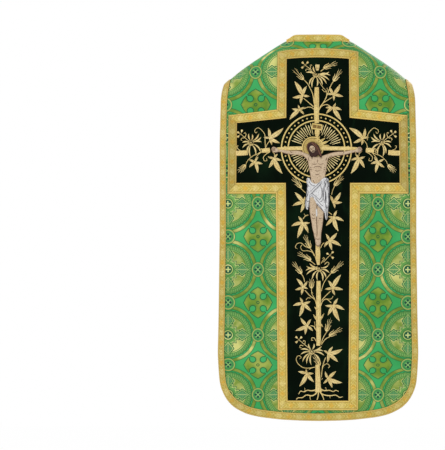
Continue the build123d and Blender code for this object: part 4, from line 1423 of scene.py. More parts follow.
hh = np.concatenate([hs, hs[::-1]])
hgt = (topz - botz)
U = (hh[None, :] - 0.5) * hgt[:, None]
Vv = np.broadcast_to(xs[:, None], U.shape)
f = []
for i in range(n - 1):
    for j in range(k):
        j2 = (j + 1) % k
        f.append([i * k + j, i * k + j2, (i + 1) * k + j2, (i + 1) * k + j])
f.append(list(range(k)))
f.append([(n - 1) * k + j for j in range(k)][::-1])
m.add(co.reshape(-1, 3), f, np.stack([U, Vv], axis=-1).reshape(-1, 2), np.broadcast_to((hh * 2 - 1)[None, :], U.shape).ravel())
nb = m.make("neck_galloon_band", [GALLOON])
nb.data.set_sharp_from_angle(angle=math.radians(60))
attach(nb, "shoulders")
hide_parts("neck_galloon_back")

# --------------------------------------------------------------------------
# Embroidery in gilt thread, laid over the velvet.  Millimetres on the flat.
# --------------------------------------------------------------------------
BASE = 0.00095


def rib(mesh, side, pts, w0, w1=None, h=0.0013, base=BASE, n=26, mat=0, taper=True, across=3):
    """A stitched line through points in mm; w0..w1 are its widths in mm."""
    path = curve(mm(pts), n)
    w1 = w0 if w1 is None else w1
    t = np.linspace(0, 1, len(path))
    half = (w0 * (1 - t) + w1 * t) / 2000
    if taper:
        half = half * np.clip(np.minimum(t, 1 - t) * 14 + 0.45, 0, 1)
    ribbon(mesh, side, path, half, h * np.clip(half / half.max(), 0.5, 1), base, across, mat)


def lobe(mesh, side, c, tip, half=None, bend=0.0, h=0.0017, base=BASE, vein=True, peak=0.42, start=0.0):
    c, tip = np.asarray(c, float), np.asarray(tip, float)
    d = tip - c
    L = float(np.linalg.norm(d))
    half = (0.118 * L + 1.35) if half is None else half
    p0, p1 = (c + d * start) / 1000, tip / 1000
    dd = p1 - p0
    nor = np.array([-dd[1], dd[0]])
    t = np.linspace(0, 1, 15)
    path = p0 + dd * t[:, None] + nor * (bend * np.sin(math.pi * t))[:, None]
    a = math.log(0.5) / math.log(peak)
    env = np.clip(np.sin(math.pi * t**a) ** 0.85, 0.03, 1)
    env = np.maximum(env, 0.42 * np.clip(1 - t * 3.5, 0, 1))
    ribbon(mesh, side, path, half / 1000 * env, h * np.clip(env, 0.3, 1) ** 0.5, base, 4, 0, shape=2.4)
    if vein:
        k = slice(2, 13)
        ribbon(mesh, side, path[k], np.linspace(0.00052, 0.0003, 11), 0.0004, base + h * 0.93, 1, 1)


def leaf(mesh, side, c, tips, seed=0):
    for i, tip in enumerate(tips):
        b = 0.07 * math.sin(seed * 2.3 + i * 1.9 + c[0])
        lobe(mesh, side, c, tip, bend=b, h=0.0017 + 0.00012 * (i % 3))
    dome(mesh, side, c[0] / 1000, c[1] / 1000, 0.0036, 0.0036, 0.0019, BASE)


def leaf_at(mesh, side, x, z, angle, size=1.0, seed=0):
    tips = []
    for i, L in enumerate([1.22, 0.86, 0.72, 0.70, 0.88]):
        a = math.radians(90 + angle + [0, 62, 128, -132, -64][i])
        tips.append((x + 36 * size * L * math.cos(a) * 0.92, z + 36 * size * L * math.sin(a) * 0.92))
    leaf(mesh, side, (x, z), tips, seed)


def flower(mesh, side, c, tips, swirl=1.0, crown=None):
    for i, tip in enumerate(tips):
        c2 = np.asarray(c, float)
        t2 = np.asarray(tip, float)
        d = (t2 - c2) / np.linalg.norm(t2 - c2)
        lobe(mesh, side, c2 + d * 6.0, t2, half=2.55, bend=0.13 * math.copysign(1, t2[0] - c2[0] + 0.01) * (1 if t2[1] < c2[1] + 6 else -1), h=0.0015, vein=False, peak=0.55)
    # calyx: two nested arcs and a bead
    for r, w in ((8.6, 2.6), (4.9, 2.0)):
        pts = [(c[0] + swirl * r * math.cos(a), c[1] + r * math.sin(a)) for a in np.linspace(-2.6, 0.9, 9)]
        rib(mesh, side, pts, w, w * 0.7, h=0.0017, base=BASE + 0.0003)
    dome(mesh, side, c[0] / 1000, c[1] / 1000, 0.0027, 0.0027, 0.0020, BASE)
    if crown is not None:
        x, z = crown
        for k in (-4.2, 0.0, 4.2):
            rib(mesh, side, [(x + k, z + 8.5), (x + k * 0.95, z), (x + k * 0.45, z - 9.5)], 4.6, 3.2, h=0.0016)
        rib(mesh, side, [(x - 6.6, z + 7.8), (x + 6.6, z + 7.8)], 2.4, h=0.0019)
        rib(mesh, side, [(x - 5.6, z - 2.0), (x + 5.6, z - 2.0)], 1.2, h=0.0021, mat=1)


def flower_at(mesh, side, x, z, size=1.0):
    tips = []
    for i in range(12):
        a = math.radians(75 + 30 * i + 6 * math.sin(i * 2.1))
        r = (37 if math.sin(a) < 0.3 else 27) * size * (1 + 0.07 * math.sin(i * 3.7))
        tips.append((x + r * math.cos(a), z + r * math.sin(a)))
    flower(mesh, side, (x, z), tips, crown=(x, z + 21 * size))


def bud(mesh, side, cup, tip, spread=6.0, prongs=3):
    """Seed head: a cup of two bracts with slender awns standing out of it."""
    c, t = np.asarray(cup, float), np.asarray(tip, float)
    d = t - c
    L = float(np.linalg.norm(d))
    d /= L
    n = np.array([-d[1], d[0]])
    for s in (1, -1):
        pts = [c - d * 5, c - d * 2 + n * s * 3.6, c + d * 4 + n * s * 6.2, c + d * 11 + n * s * 6.6, c + d * 16 + n * s * 9.0]
        rib(mesh, side, pts, 3.4, 1.5, h=0.0015)
    ks = np.linspace(-1, 1, prongs)
    for i, k in enumerate(ks):
        pts = [c + n * k * 1.5, c + d * L * 0.45 + n * k * 3.0, c + d * L * (1 - 0.10 * abs(k)) + n * k * spread]
        rib(mesh, side, pts, 2.5, 1.1, h=0.0013)
        # little barbs along the awns
        q = c + d * L * 0.62 + n * k * 3.9
        rib(mesh, side, [q, q + d * 4.5 + n * (k if k else 0.5) * 3.4], 1.2, 0.7, h=0.0010, n=6)
    dome(mesh, side, (c - d * 2.5)[0] / 1000, (c - d * 2.5)[1] / 1000, 0.0034, 0.0034, 0.0018, BASE)


def squares(mesh, side, places, hub, foot, size=3.4):
    for x, z in places:
        a = math.atan2(z - hub[1], x - hub[0])
        d = np.array([math.cos(a), math.sin(a)])
        p = np.array([x, z])
        path = mm([p - d * size, p - d * size * 0.2, p + d * size])
        ribbon(mesh, side, path, np.array([0.0016, size / 1000, size / 1000 * 0.95]), np.array([0.0012, 0.0017, 0.0014]), BASE, 3, shape=4.0)
        rib(mesh, side, [hub, p - d * size * 0.6], 1.5, h=0.0011, n=6)
    rib(mesh, side, [hub, ((hub[0] + foot[0]) / 2, (hub[1] + foot[1]) / 2), foot], 2.0, 2.2, h=0.0012)


def cross_squares(mesh, side, x, z, angle, size=3.3):
    for i in range(4):
        a = math.radians(angle + 45 + 90 * i)
        d = np.array([math.cos(a), math.sin(a)])
        p = np.array([x, z]) + d * 9.5
        path = mm([p - d * size, p - d * size * 0.2, p + d * size])
        ribbon(mesh, side, path, np.array([0.0016, size / 1000, size / 1000 * 0.95]), np.array([0.0012, 0.0017, 0.0014]), BASE, 3, shape=4.0)
        rib(mesh, side, [(x, z), tuple(p - d * size * 0.6)], 1.5, h=0.0011, n=6)


def make_thread(mesh, name, side, mats=None, slot="gold_embroidery", nodes=()):
    o = mesh.make(name, mats or [GOLD, GOLD_VEIN])
    o.data.set_sharp_from_angle(angle=math.radians(60))
    finish_piece(o, side, slot, *nodes)
    return o


# ---------------------------------------------------------------- the back
HEAD_LEAVES = [
    ((46.6, -167.9), [(71.1, -124.7), (33.7, -138.7), (25.5, -170.8), (53, -193.5), (77.5, -174.3)]),
    ((-46.8, -164.4), [(-35.1, -141), (-67.8, -132.9), (-77.1, -171.4), (-48, -184.2), (-27, -164.4)]),
]
m = Mesh()
for i, (c, tips) in enumerate(HEAD_LEAVES):
    leaf(m, 1, c, tips, i)
make_thread(m, "leaves_head_stitch", 1, nodes=("leaves_head",))

LEAVES = [
    ((55, -212), [(79.2, -207.6), (60.6, -197), (86.7, -241.9), (40, -204), (42, -226)]),
    ((-45.6, -206), [(-53.8, -191.2), (-23.5, -205.2), (-72.3, -212.4), (-70.8, -243.8), (-25.1, -223.4)]),
    ((147.5, -297.3), [(151.4, -267.2), (165, -295.4), (140.7, -319.7), (105.2, -267.2), (115.9, -312.9)]),
    ((-136.8, -299.3), [(-143.7, -268.1), (-155.3, -295.4), (-133, -319.7), (-95.1, -267.2), (-107.8, -312.9)]),
    ((133.4, -359.6), [(121.8, -345.9), (110.1, -366.4), (108.1, -406.2), (150, -388.7), (153, -354.0)]),
    ((-124.3, -359.6), [(-113.6, -345.9), (-101, -365.4), (-100, -406.2), (-141.8, -388.7), (-143.5, -354.0)]),
    ((43, -494), [(70.2, -463), (77, -503.9), (52.7, -524.3), (39, -476)]),
    ((-46.5, -494), [(-68.9, -463), (-73.7, -494.2), (-51.4, -511.7), (-36.8, -471.8)]),
    ((45.9, -556.4), [(80.9, -566.2), (62.4, -602.1), (29.4, -586.6), (24.5, -555.5), (59.5, -536)]),
    ((-48.4, -538.9), [(-58.2, -518.5), (-78.6, -550.6), (-62.1, -581.7), (-24.1, -565.2), (-30.9, -536)]),
    ((-34.8, -610.9), [(-24.1, -589.5), (-58.2, -586.6), (-69.8, -626.5), (-42.6, -639.1), (-19.3, -630.3)]),
    ((45.9, -751.2), [(65.3, -725.9), (69.2, -759.9), (50.8, -775.5), (32.3, -733.7), (30.3, -757)]),
    ((-44.5, -755.1), [(-30.9, -731.7), (-69.8, -714.2), (-76.6, -759.9), (-52.3, -776.5), (-21.2, -758)]),
    ((45.9, -801.8), [(54.7, -783.3), (76, -808.6), (56.6, -841.6), (20.6, -825.1), (22.6, -795)]),
    ((-47.5, -807.6), [(-61.1, -786.2), (-80.5, -821.2), (-65.9, -855.3), (-30, -837.8), (-22.2, -807.6)]),
    ((32.3, -869.8), [(52.7, -845.5), (68.3, -884.4), (38.1, -896.1), (14.8, -885.4), (20.6, -849.4)]),
    ((-30.9, -954.3), [(-45.5, -933), (-74.7, -940.7), (-61.1, -979.6), (-29, -981.6), (-17.3, -944.6)]),
    ((33.3, -1014.6), [(60.5, -1008.8), (56.6, -1054.5), (11.9, -1040.9), (12.8, -1014.6), (35.2, -1001)]),
    ((-30.9, -1030.2), [(-22.2, -1008.8), (-55.2, -1007.8), (-73.7, -1042.8), (-43.6, -1058.4), (-16.3, -1045.8)]),
]
m = Mesh()
for i, (c, tips) in enumerate(LEAVES):
    leaf(m, 1, c, tips, i)
for x, z, a in ((192, -371, 165), (-184, -371, -165)):
    leaf_at(m, 1, x, z, a, 0.84, int(abs(x)))
make_thread(m, "leaves_back_stitch", 1, nodes=("leaves_back",))

m = Mesh()
flower(m, 1, (6, -103.5), [(36.1, -97.9), (22.9, -90.2), (13.7, -79.2), (26.7, -136.4), (17.7, -144.5), (3.4, -141), (-14.1, -137.5), (-27, -133.0), (-35.1, -122.4), (-38.6, -107.2), (-35.1, -95.7)], crown=(1.6, -82.5))
make_thread(m, "flower_head_stitch", 1, nodes=("flower_head",))
m = Mesh()
flower(m, 1, (203.9, -310.9), [(210.7, -283.7), (200, -285.6), (179.6, -283.7), (172.7, -294.5), (170.8, -310), (174.7, -337.2), (189.3, -349.8), (204.8, -356.4), (215.6, -345), (230.1, -327.5), (231.1, -310.9)])
flower(m, 1, (-194.2, -310), [(-168.9, -283.7), (-161.2, -294.4), (-162.1, -310), (-162.2, -338), (-181.6, -348.9), (-197.1, -355.6), (-206.9, -345), (-223.4, -326.5), (-223.4, -310.9), (-202, -282.7), (-190.3, -284.6)], swirl=-1)
flower(m, 1, (-3.7, -694.8), [(35.2, -688), (38.1, -701.6), (35.2, -714.2), (25.5, -679.2), (17.7, -727.9), (1.2, -731.7), (-14.4, -733.7), (-25.2, -724), (-34.9, -708.5), (-32, -685)])
flower(m, 1, (18.6, -947.5), [(52.7, -941.6), (52.7, -957.3), (46.9, -979.6), (34.1, -985.4), (19.6, -989.4), (-11.5, -931), (-19.3, -960.2), (-16.5, -946.5), (28.4, -924.1), (11.8, -924.1), (-7.6, -985.4)])
make_thread(m, "flowers_back_stitch", 1, nodes=("flowers_back",))

m = Mesh()
bud(m, 1, (-22, -82.5), (-60, -67.5))
bud(m, 1, (-50.3, -120), (-71.3, -88.2))
bud(m, 1, (47.7, -115.4), (77.6, -83.4), prongs=2, spread=4.5)
make_thread(m, "buds_head_stitch", 1, nodes=("buds_head",))
m = Mesh()
for cup, tip in (
    ((53.7, -444.6), (78, -417.3)), ((-53.3, -438.8), (-77.6, -413.5)), ((25.5, -628.5), (41, -592.4)),
    ((25.5, -667.3), (62.4, -646.9)), ((52.7, -706.5), (77, -674.4)), ((-44.5, -704.5), (-77.6, -673.4)),
    ((19.6, -750.3), (18.6, -724)), ((-27, -881.5), (-37.8, -846.6)), ((-38.8, -897), (-74.6, -876.7)),
    ((224, -383), (243, -402)), ((-217, -383), (-238, -402)),
):
    bud(m, 1, cup, tip)
bud(m, 1, (-3.5, -986), (12.5, -957))
make_thread(m, "buds_back_stitch", 1, nodes=("buds_back",))

m = Mesh()
squares(m, 1, [(46, -68.1), (31.8, -67.5), (47.1, -82.5)], (39, -75.2), (19, -90.5))
make_thread(m, "crosslet_head_stitch", 1, nodes=("crosslet_head",))
m = Mesh()
squares(m, 1, [(243.0, -280.4), (232, -275.4), (243.0, -292.6)], (235, -285.2), (211.7, -306))
squares(m, 1, [(-223.4, -276.9), (-235, -279.3), (-236, -292.9)], (-227.5, -285.4), (-203, -304))
squares(m, 1, [(-29.3, -650.3), (-44.5, -645.9), (-44.5, -661.9)], (-36.3, -654.9), (-16.5, -676))
squares(m, 1, [(65.3, -904.9), (51.2, -905.4), (64.9, -919.0)], (57.8, -912.4), (27, -938))
make_thread(m, "crosslets_back_stitch", 1, nodes=("crosslets_back",))

# trunk, stalks, tendrils and roots
m = Mesh()


def bar(mesh, side, pts, widths, h=0.0019):
    path = curve(mm(pts), 60)
    k = np.linspace(0, 1, len(widths))
    half = np.interp(np.linspace(0, 1, len(path)), k, widths) / 2000
    ribbon(mesh, side, path, half, h, BASE, 6, 0, shape=3.2)
    n = np.gradient(path, axis=0)
    n /= np.linalg.norm(n, axis=1, keepdims=True)
    n = np.stack([-n[:, 1], n[:, 0]], axis=1)
    for k in (-0.34, 0.30):
        q = path + n * (half * k + 0.0005 * np.sin(np.linspace(0, 40, len(path))))[:, None]
        ribbon(mesh, side, q[2:-2], 0.00042, 0.0004, BASE + h * 0.88, 1, 1)


bar(m, 1, [(3.5, -143), (4, -180), (4.2, -215)], [13.5, 16, 16])
for pts in (
    [(44.2, -118), (30.2, -134), (16.2, -163.2), (11.5, -194)],
    [(44.2, -176), (30, -188), (12.5, -203)],
    [(-48, -123.4), (-38.6, -139.9), (-21, -182.2), (-5, -206)],
    [(-43.3, -173.7), (-16.1, -191.4), (-5, -207)],
    [(-21, -84.5), (-8, -94.4)],
):
    rib(m, 1, pts, 2.2, 3.0)
for pts in (
    [(27, -92), (22.5, -84), (23.5, -76), (19.5, -74.5), (18.8, -78)],
    [(27, -88), (35, -87.5), (37.5, -91.5), (34.5, -93.8)],
    [(-4, -126), (-15, -143), (-25.8, -154)],
    [(-12.5, -149), (-20, -156.5), (-28.5, -153), (-27.5, -144)],
    [(-26, -155), (-26.5, -172), (-22, -181)],
):
    rib(m, 1, pts, 2.0, 1.5, h=0.0011)
make_thread(m, "stem_head_stitch", 1, [GOLD_STEM, GOLD_VEIN], nodes=("stem_head",))

m = Mesh()
bar(m, 1, [(4.2, -213), (4.1, -236), (3.4, -252)], [16, 15.5, 14.0])
bar(m, 1, [(2.0, -273), (2.2, -284), (3.0, -298)], [15, 16, 6])
for s in (1, -1):
    bar(m, 1, [(s * 250, -343.6), (s * 232, -343.2), (s * 214, -341.6)], [15.5, 16.5, 15.5])
    bar(m, 1, [(s * 171, -336.4), (s * 158, -335.2), (s * 146, -333.6)], [13, 15, 13])
    bar(m, 1, [(s * 122 + 2, -330.5), (s * 90 + 3, -329.8), ((40 if s > 0 else -18) + 8, -329.2)], [9, 12.5, 13])
    rib(m, 1, [(s * 170, -330), (s * 178, -333), (s * 174, -340), (s * 181, -343)], 3, 1.6)
    rib(m, 1, [(s * 146, -340), (s * 157, -346), (s * 166, -356), (s * 163, -367), (s * 155, -365.5), (s * 157, -359)], 2.6, 1.6, h=0.0012)
bar(m, 1, [(1, -622), (0, -650), (-1.5, -684)], [12, 15.5, 9])
bar(m, 1, [(-2, -733), (-2, -790), (-1.8, -856), (-2.2, -906), (-1.2, -930)], [13, 15, 15.5, 14, 12.5])
bar(m, 1, [(1.2, -988), (0.4, -1020), (-0.8, -1056), (-1.8, -1071)], [13, 15.5, 17, 23])
for pts, w in (
    ([(8, -214), (18, -205.5), (30, -203.6), (44, -209)], 2.6),
    ([(-2, -214), (-12, -200.4), (-27, -195.9), (-41, -203)], 2.6),
    ([(-139.8, -304.1), (-147.5, -314.8), (-151.4, -328.5)], 2.4),
    ([(144.0, -304.1), (153, -313.8), (160, -329)], 2.4),
    ([(53, -450), (45, -458), (37.1, -465)], 2.4),
    ([(-51, -443.6), (-45, -457), (-41.6, -471)], 2.4),
    ([(45.9, -545), (38, -535), (28.5, -532)], 2.4),
    ([(37, -536), (41, -530), (42.5, -528.5)], 1.6),
    ([(-42.6, -531.1), (-36, -526), (-30.9, -523)], 2.4),
    ([(-19.3, -616.7), (-12.5, -623), (-7.6, -634)], 2.6),
    ([(24.5, -633.3), (15.7, -645), (8, -660), (3, -678)], 2.6),
    ([(25, -671.3), (16, -677), (8, -684)], 2.4),
    ([(50.8, -711), (44, -722), (40, -737)], 2.4),
    ([(-42.6, -706.5), (-23.2, -729.8), (-14.8, -748), (-10, -765)], 2.4),
    ([(40, -760.9), (24, -778.4), (9.5, -790), (4.5, -805)], 2.8),
    ([(20, -752), (18, -772), (9, -788)], 2.2),
    ([(14.5, -771), (20, -765)], 1.6),
    ([(-38.7, -763.8), (-22, -780), (-11, -793)], 2.6),
    ([(36.5, -791), (30.5, -784.5), (22, -785.3)], 2.2),
    ([(-40.7, -799.8), (-26.1, -788.1), (-14.4, -794.9), (-8.6, -810)], 2.8),
    ([(-26, -788), (-40, -787.5), (-46.5, -779)], 2.0),
    ([(22.6, -868.8), (12, -872), (4.5, -885)], 2.6),
    ([(10, -857), (9, -868), (10.5, -879)], 1.6),
    ([(-28, -886.5), (-17, -904), (-9.0, -925)], 2.4),
    ([(-38.8, -901), (-22, -911), (-10.5, -927)], 2.6),
    ([(-23.2, -966), (-14.4, -993.2), (-10.5, -1027)], 2.6),
    ([(27, -1003), (17, -997), (7, -995.2)], 2.4),
    ([(-15.0, -1030), (-10, -1033)], 2.2),
    ([(-116, -345.9), (-112, -338.4), (-106, -337)], 2.0),
):
    rib(m, 1, pts, w, w * 0.9)
for pts in (
    [(160, -329), (161, -303.2), (162, -286.6), (170.8, -274), (182.4, -266.2), (192.2, -273), (190.2, -281.7), (184.4, -278.4)],
    [(-150.5, -305), (-151.9, -288.6), (-160.2, -275), (-171.8, -267.2), (-184.5, -275), (-180.6, -283.7), (-175.8, -278.4)],
    [(223, -296), (219, -287), (222, -281), (225.5, -284.5)],
    [(224, -297), (231, -297.5), (234.5, -302.5), (231, -305)],
    [(-213, -296), (-210, -286), (-212.7, -280.8), (-215.8, -284.0)],
    [(-215, -298), (-222, -297.5), (-226, -302.0), (-222.6, -304.6)],
    [(236, -336), (245, -329), (246.2, -321.5), (242.0, -321.0)],
    [(-224, -336), (-236, -330.5), (-239, -322.5), (-235.0, -321.2)],
    [(12, -656), (16.7, -645.9), (31.3, -641), (45.9, -641), (52.7, -631.3), (47.8, -622.5)],
    [(28, -632), (39.1, -627.4), (50.8, -617.7), (63.4, -619.7), (68.3, -630.3), (62.4, -635.2)],
    [(-10, -680), (-16, -670), (-20.5, -666), (-17, -662), (-14, -666)],
    [(-20, -683), (-28, -676), (-33.8, -679.5), (-30.5, -684.8)],
    [(6, -917), (10.9, -906.8), (18.7, -906.8), (18.7, -914), (14.0, -913.2)],
    [(40, -926), (38.5, -917.5), (43, -914.6), (45.5, -919)],
    [(44, -931), (53, -929), (55, -935.5), (50, -937.2)],
    [(-12.4, -1001), (-17.3, -991.3), (-27, -985.4), (-35.8, -992.2), (-30.9, -998.4)],
    [(8, -996.2), (40, -998.4), (59.5, -986.5), (66.3, -970.9), (59.5, -960.7), (50.8, -965.0), (55.6, -970.9)],
    [(160, -334), (176, -343), (186, -353), (190, -362)],
    [(-150, -334), (-165, -343), (-174, -353), (-181, -362)],
    [(176, -343), (198, -352), (214, -366), (220, -379)],
    [(-165, -343), (-190, -352), (-206, -366), (-213, -379)],
    [(140, -338), (133, -345), (132.5, -352)],
    [(-134, -338), (-126, -345), (-124.5, -352)],
):
    rib(m, 1, pts, 2.4, 1.8, h=0.0012)
for c, tips in (
    ((-1.8, -858), [(14.3, -834.8), (-19.3, -831.9)]),
    ((-3, -861), [(-15.4, -872.8)]),
    ((0, -822), [(10.5, -812.0)]),
):
    for t in tips:
        lobe(m, 1, c, t, half=3.4, h=0.0016)
for pts, w in (
    ([(2, -1058), (8, -1065), (19.7, -1067.7), (31.3, -1066.2), (43, -1071), (52.7, -1069), (58.6, -1078.8)], 4.4),
    ([(39, -1068), (40, -1058.4)], 2.4),
    ([(0.1, -1066), (6, -1076), (17.7, -1082.7), (35.2, -1080.8), (46.9, -1088.6), (60.5, -1089.5), (66.3, -1095.3)], 4.6),
    ([(22.6, -1082), (24.0, -1088), (22.4, -1095.6)], 3.0),
    ([(-4.6, -1058), (-12, -1064.6), (-21.2, -1067.2), (-34.8, -1066.2), (-46.5, -1070), (-54.3, -1066.2), (-64, -1070)], 4.4),
    ([(-25, -1066), (-24.5, -1061), (-22.2, -1056.5)], 2.2),
    ([(-3.6, -1066), (-11, -1076), (-21.2, -1080.8), (-38.7, -1082.7), (-54.3, -1080.8), (-65.9, -1087.6), (-75.7, -1085.6)], 4.4),
    ([(-36, -1083), (-37.5, -1090.5)], 2.2),
    ([(-1.8, -1068), (-0.5, -1084.7), (3.1, -1095.9)], 4.6),
    ([(-3.7, -1068), (-13, -1081), (-18.5, -1095.9)], 4.6),
):
    rib(m, 1, pts, w, w * 0.55, h=0.0016)
make_thread(m, "stem_back_stitch", 1, [GOLD_STEM, GOLD_VEIN], nodes=("stem_back",))

# ---------------------------------------------------------------- the glory
HALO = (4.5, -331.0)


def hoop(mesh, side, c, r, half, h=0.0016, n=150, a0=0.0, a1=2 * math.pi, mat=0):
    a = np.linspace(a0, a1, n)
    ribbon(mesh, side, mm(np.stack([c[0] + r * np.cos(a), c[1] + r * np.sin(a)], axis=1)), half / 1000, h, BASE, 3, mat, shape=2.4)


m = Mesh()
hoop(m, 1, HALO, 106.6, 2.35)
hoop(m, 1, HALO, 86.2, 2.25)
make_thread(m, "halo_rings_stitch", 1, [GOLD_HALO, GOLD_VEIN], nodes=("halo_rings",))
m = Mesh()
for i in range(42):
    a = 2 * math.pi * (i + 0.5) / 42
    x, z = HALO[0] + 96.4 * math.cos(a), HALO[1] + 96.4 * math.sin(a)
    dome(m, 1, x / 1000, z / 1000, 0.0027, 0.0027, 0.0016, BASE, rings=3, seg=10)
make_thread(m, "halo_beads_stitch", 1, [GOLD_HALO, GOLD_VEIN], nodes=("halo_beads",))
m = Mesh()
nray = 62
for i in range(nray):
    a = 2 * math.pi * (i + 0.25) / nray
    lo, hi = (44, 80.5) if i % 2 else (50, 76.0)
    d = np.array([math.cos(a), math.sin(a)])
    if abs(d[0]) > 0.965:
        continue
    if d[1] > 0 and abs(d[0] * 70 + HALO[0] - 2) < 15:
        continue
    if d[1] < 0 and abs(d[0]) < 0.36:
        continue
    c = np.array(HALO)
    path = lerp_line(mm([c + d * lo])[0], mm([c + d * hi])[0], 8)
    t = np.linspace(0, 1, 9)
    ribbon(m, 1, path, (0.00080 + 0.00085 * t) * np.clip((1.02 - t) * 9, 0.35, 1), 0.0014, BASE, 2)
make_thread(m, "halo_rays_stitch", 1, [GOLD_RAY, GOLD_VEIN], nodes=("halo_rays",))

# ---------------------------------------------------------------- nimbus and plaque
NIM = (15.6, -326.8)
m = Mesh()
dome(m, 1, NIM[0] / 1000, NIM[1] / 1000, 0.0330, 0.0330, 0.0016, BASE, mat=2, rings=5, seg=60)
for r, w in ((31.2, 2.1), (26.4, 1.3), (23.2, 1.2), (20.2, 1.0)):
    a = np.linspace(0, 2 * math.pi, 90)
    path = mm(np.stack([NIM[0] + r * np.cos(a), NIM[1] + r * np.sin(a)], axis=1))
    ribbon(m, 1, path, w / 1000, 0.0013, BASE + 0.0016 * math.sqrt(max(0, 1 - (r / 33) ** 2)) * 0.9, 2)
hoop(m, 1, NIM, 28.6, 0.55, h=0.0020, mat=1)
hoop(m, 1, NIM, 33.6, 0.5, h=0.0008, mat=1)
for tip, half in (((-33, -307.0), 4.2), ((-22.5, -297.0), 3.8), ((-6, -292.0), 3.4), ((-36, -320), 3.4), ((30, -296.0), 2.4)):
    d = np.array(tip) - np.array(NIM)
    lobe(m, 1, np.array(NIM) + d * 0.3, tip, half=half, h=0.0022, base=BASE + 0.0004, peak=0.5)
make_thread(m, "nimbus_stitch", 1, [GOLD_HALO, GOLD_VEIN, GOLD_DEEP], nodes=("nimbus",))

m = Mesh()
PC, PA = np.array([3.0, -263.4]), math.radians(9.0)


def plaque_point(a, b):
    r = rot((a, b), PA)
    return PC + r


def plate(mesh, x0, x1, z0, z1, base, top, mat=0):
    pts = [plaque_point(x0, z1), plaque_point(x1, z1)], [plaque_point(x0, z0), plaque_point(x1, z0)]
    A, B = mm(lerp_line(pts[0][0], pts[0][1], 8)), mm(lerp_line(pts[1][0], pts[1][1], 8))
    mid = (A + B) / 2
    ribbon(mesh, 1, mid, np.linalg.norm(A - B, axis=1) / 2, top - base, base, 4, mat, shape=8.0)


plate(m, -15.2, 15.2, -9.8, 9.8, BASE, BASE + 0.0017)
plate(m, -12.6, -1.0, -6.0, 6.0, BASE + 0.0012, BASE + 0.0020, 1)
plate(m, 1.0, 12.6, -6.0, 6.0, BASE + 0.0012, BASE + 0.0020, 1)
for k in (-8.4, 8.4):
    q = [plaque_point(-15.2, k), plaque_point(15.2, k)]
    rib(m, 1, q, 1.9, h=0.0012, base=BASE + 0.0013, taper=False)
for k in (-14.2, 14.2, 0):
    q = [plaque_point(k, -8), plaque_point(k, 8)]
    rib(m, 1, q, 1.9, h=0.0012, base=BASE + 0.0013, taper=False)
make_thread(m, "title_plaque_stitch", 1, [GOLD_HALO, GOLD_VEIN], nodes=("title_plaque",))


# ---------------------------------------------------------------- the figure
def relief(mesh, side, outline, height, round_w, base=BASE, gap=1.15, mat=0, folds=(), smooth=3, power=0.5):
    """A padded shape with the given outline, in mm; returns its height at a point.
    folds are (line, depth, half width): negative depths are creases."""
    P = np.asarray(outline, float)
    closed = np.concatenate([P, P[:1]])
    C = dense(closed, 1.2)[:-1]
    for _ in range(smooth):
        C = 0.25 * np.roll(C, 1, axis=0) + 0.5 * C + 0.25 * np.roll(C, -1, axis=0)
    D = np.roll(C, -1, axis=0)
    lines = [(dense(curve(np.array(l, float), 30), 0.8), dep, wid) for l, dep, wid in folds]

    def near(Q):
        d = D - C
        L2 = (d**2).sum(1)
        best, place = np.full(len(Q), 1e9), np.zeros((len(Q), 2))
        for k in range(len(C)):
            t = np.clip(((Q - C[k]) @ d[k]) / L2[k], 0, 1)
            p = C[k] + t[:, None] * d[k]
            e = np.linalg.norm(Q - p, axis=1)
            hit = e < best
            best[hit], place[hit] = e[hit], p[hit]
        inside = np.zeros(len(Q), bool)
        for k in range(len(C)):
            a, b = C[k], D[k]
            cond = (a[1] > Q[:, 1]) != (b[1] > Q[:, 1])
            if cond.any():
                xx = a[0] + (Q[:, 1] - a[1]) / (b[1] - a[1] + 1e-12) * (b[0] - a[0])
                inside ^= cond & (Q[:, 0] < xx)
        return np.where(inside, best, -best), place

    def height_at(Q, d=None):
        Q = np.asarray(Q, float)
        if d is None:
            d, _ = near(Q)
        k = np.clip(d / round_w, 0, 1)
        h = height * (1 - (1 - k) ** 2) ** power
        for l, dep, wid in lines:
            r = np.min(np.linalg.norm(Q[:, None, :] - l[None, :, :], axis=2), axis=1)
            h = h + dep * np.exp(-((r / wid) ** 2)) * k
        return np.maximum(h, 0)

    lo, hi = C.min(0) - gap, C.max(0) + gap
    nx, nz = int((hi[0] - lo[0]) / gap) + 1, int((hi[1] - lo[1]) / gap) + 1
    gx, gz = np.linspace(lo[0], hi[0], nx + 1), np.linspace(lo[1], hi[1], nz + 1)
    X, Z = np.meshgrid(gx, gz)
    Q = np.stack([X.ravel(), Z.ravel()], axis=1)
    d, place = near(Q)
    snap = np.abs(d) < 0.62 * gap
    Q2 = np.where(snap[:, None], place, Q)
    d2 = np.where(snap, 0.0, d)
    ok = d2 >= 0
    H = height_at(Q2, d2)
    cells = [f for f in grid_faces(nz + 1, nx + 1) if ok[f].all() and not (d2[f] == 0).all()]
    used = np.unique(np.array(cells))
    remap = -np.ones(len(Q), int)
    remap[used] = np.arange(len(used))
    Q2, d2, H = Q2[used], d2[used], H[used]
    co = lift(side, Q2[:, 0] / 1000, Q2[:, 1] / 1000, base + H / 1000)
    faces = [[int(remap[i]) for i in f] for f in cells]
    n = len(used)
    under = {}
    low = []
    for i in range(n):
        if d2[i] > 0:
            under[i] = n + len(low)
            low.append(i)
        else:
            under[i] = i
    co2 = lift(side, Q2[low, 0] / 1000, Q2[low, 1] / 1000, np.full(len(low), base - 0.0001))
    back = [[under[i] for i in f][::-1] for f in faces]
    idx = np.concatenate([np.arange(n), np.array(low, int)])
    # the edge attribute is 1 at the outline and fades out 3.2 mm inside; the thread materials paint shade with it
    mesh.add(np.concatenate([co, co2]), faces + back, Q2[idx] / 1000, np.clip(1 - d2[idx] / 3.2, 0, 1), mat)
    return height_at


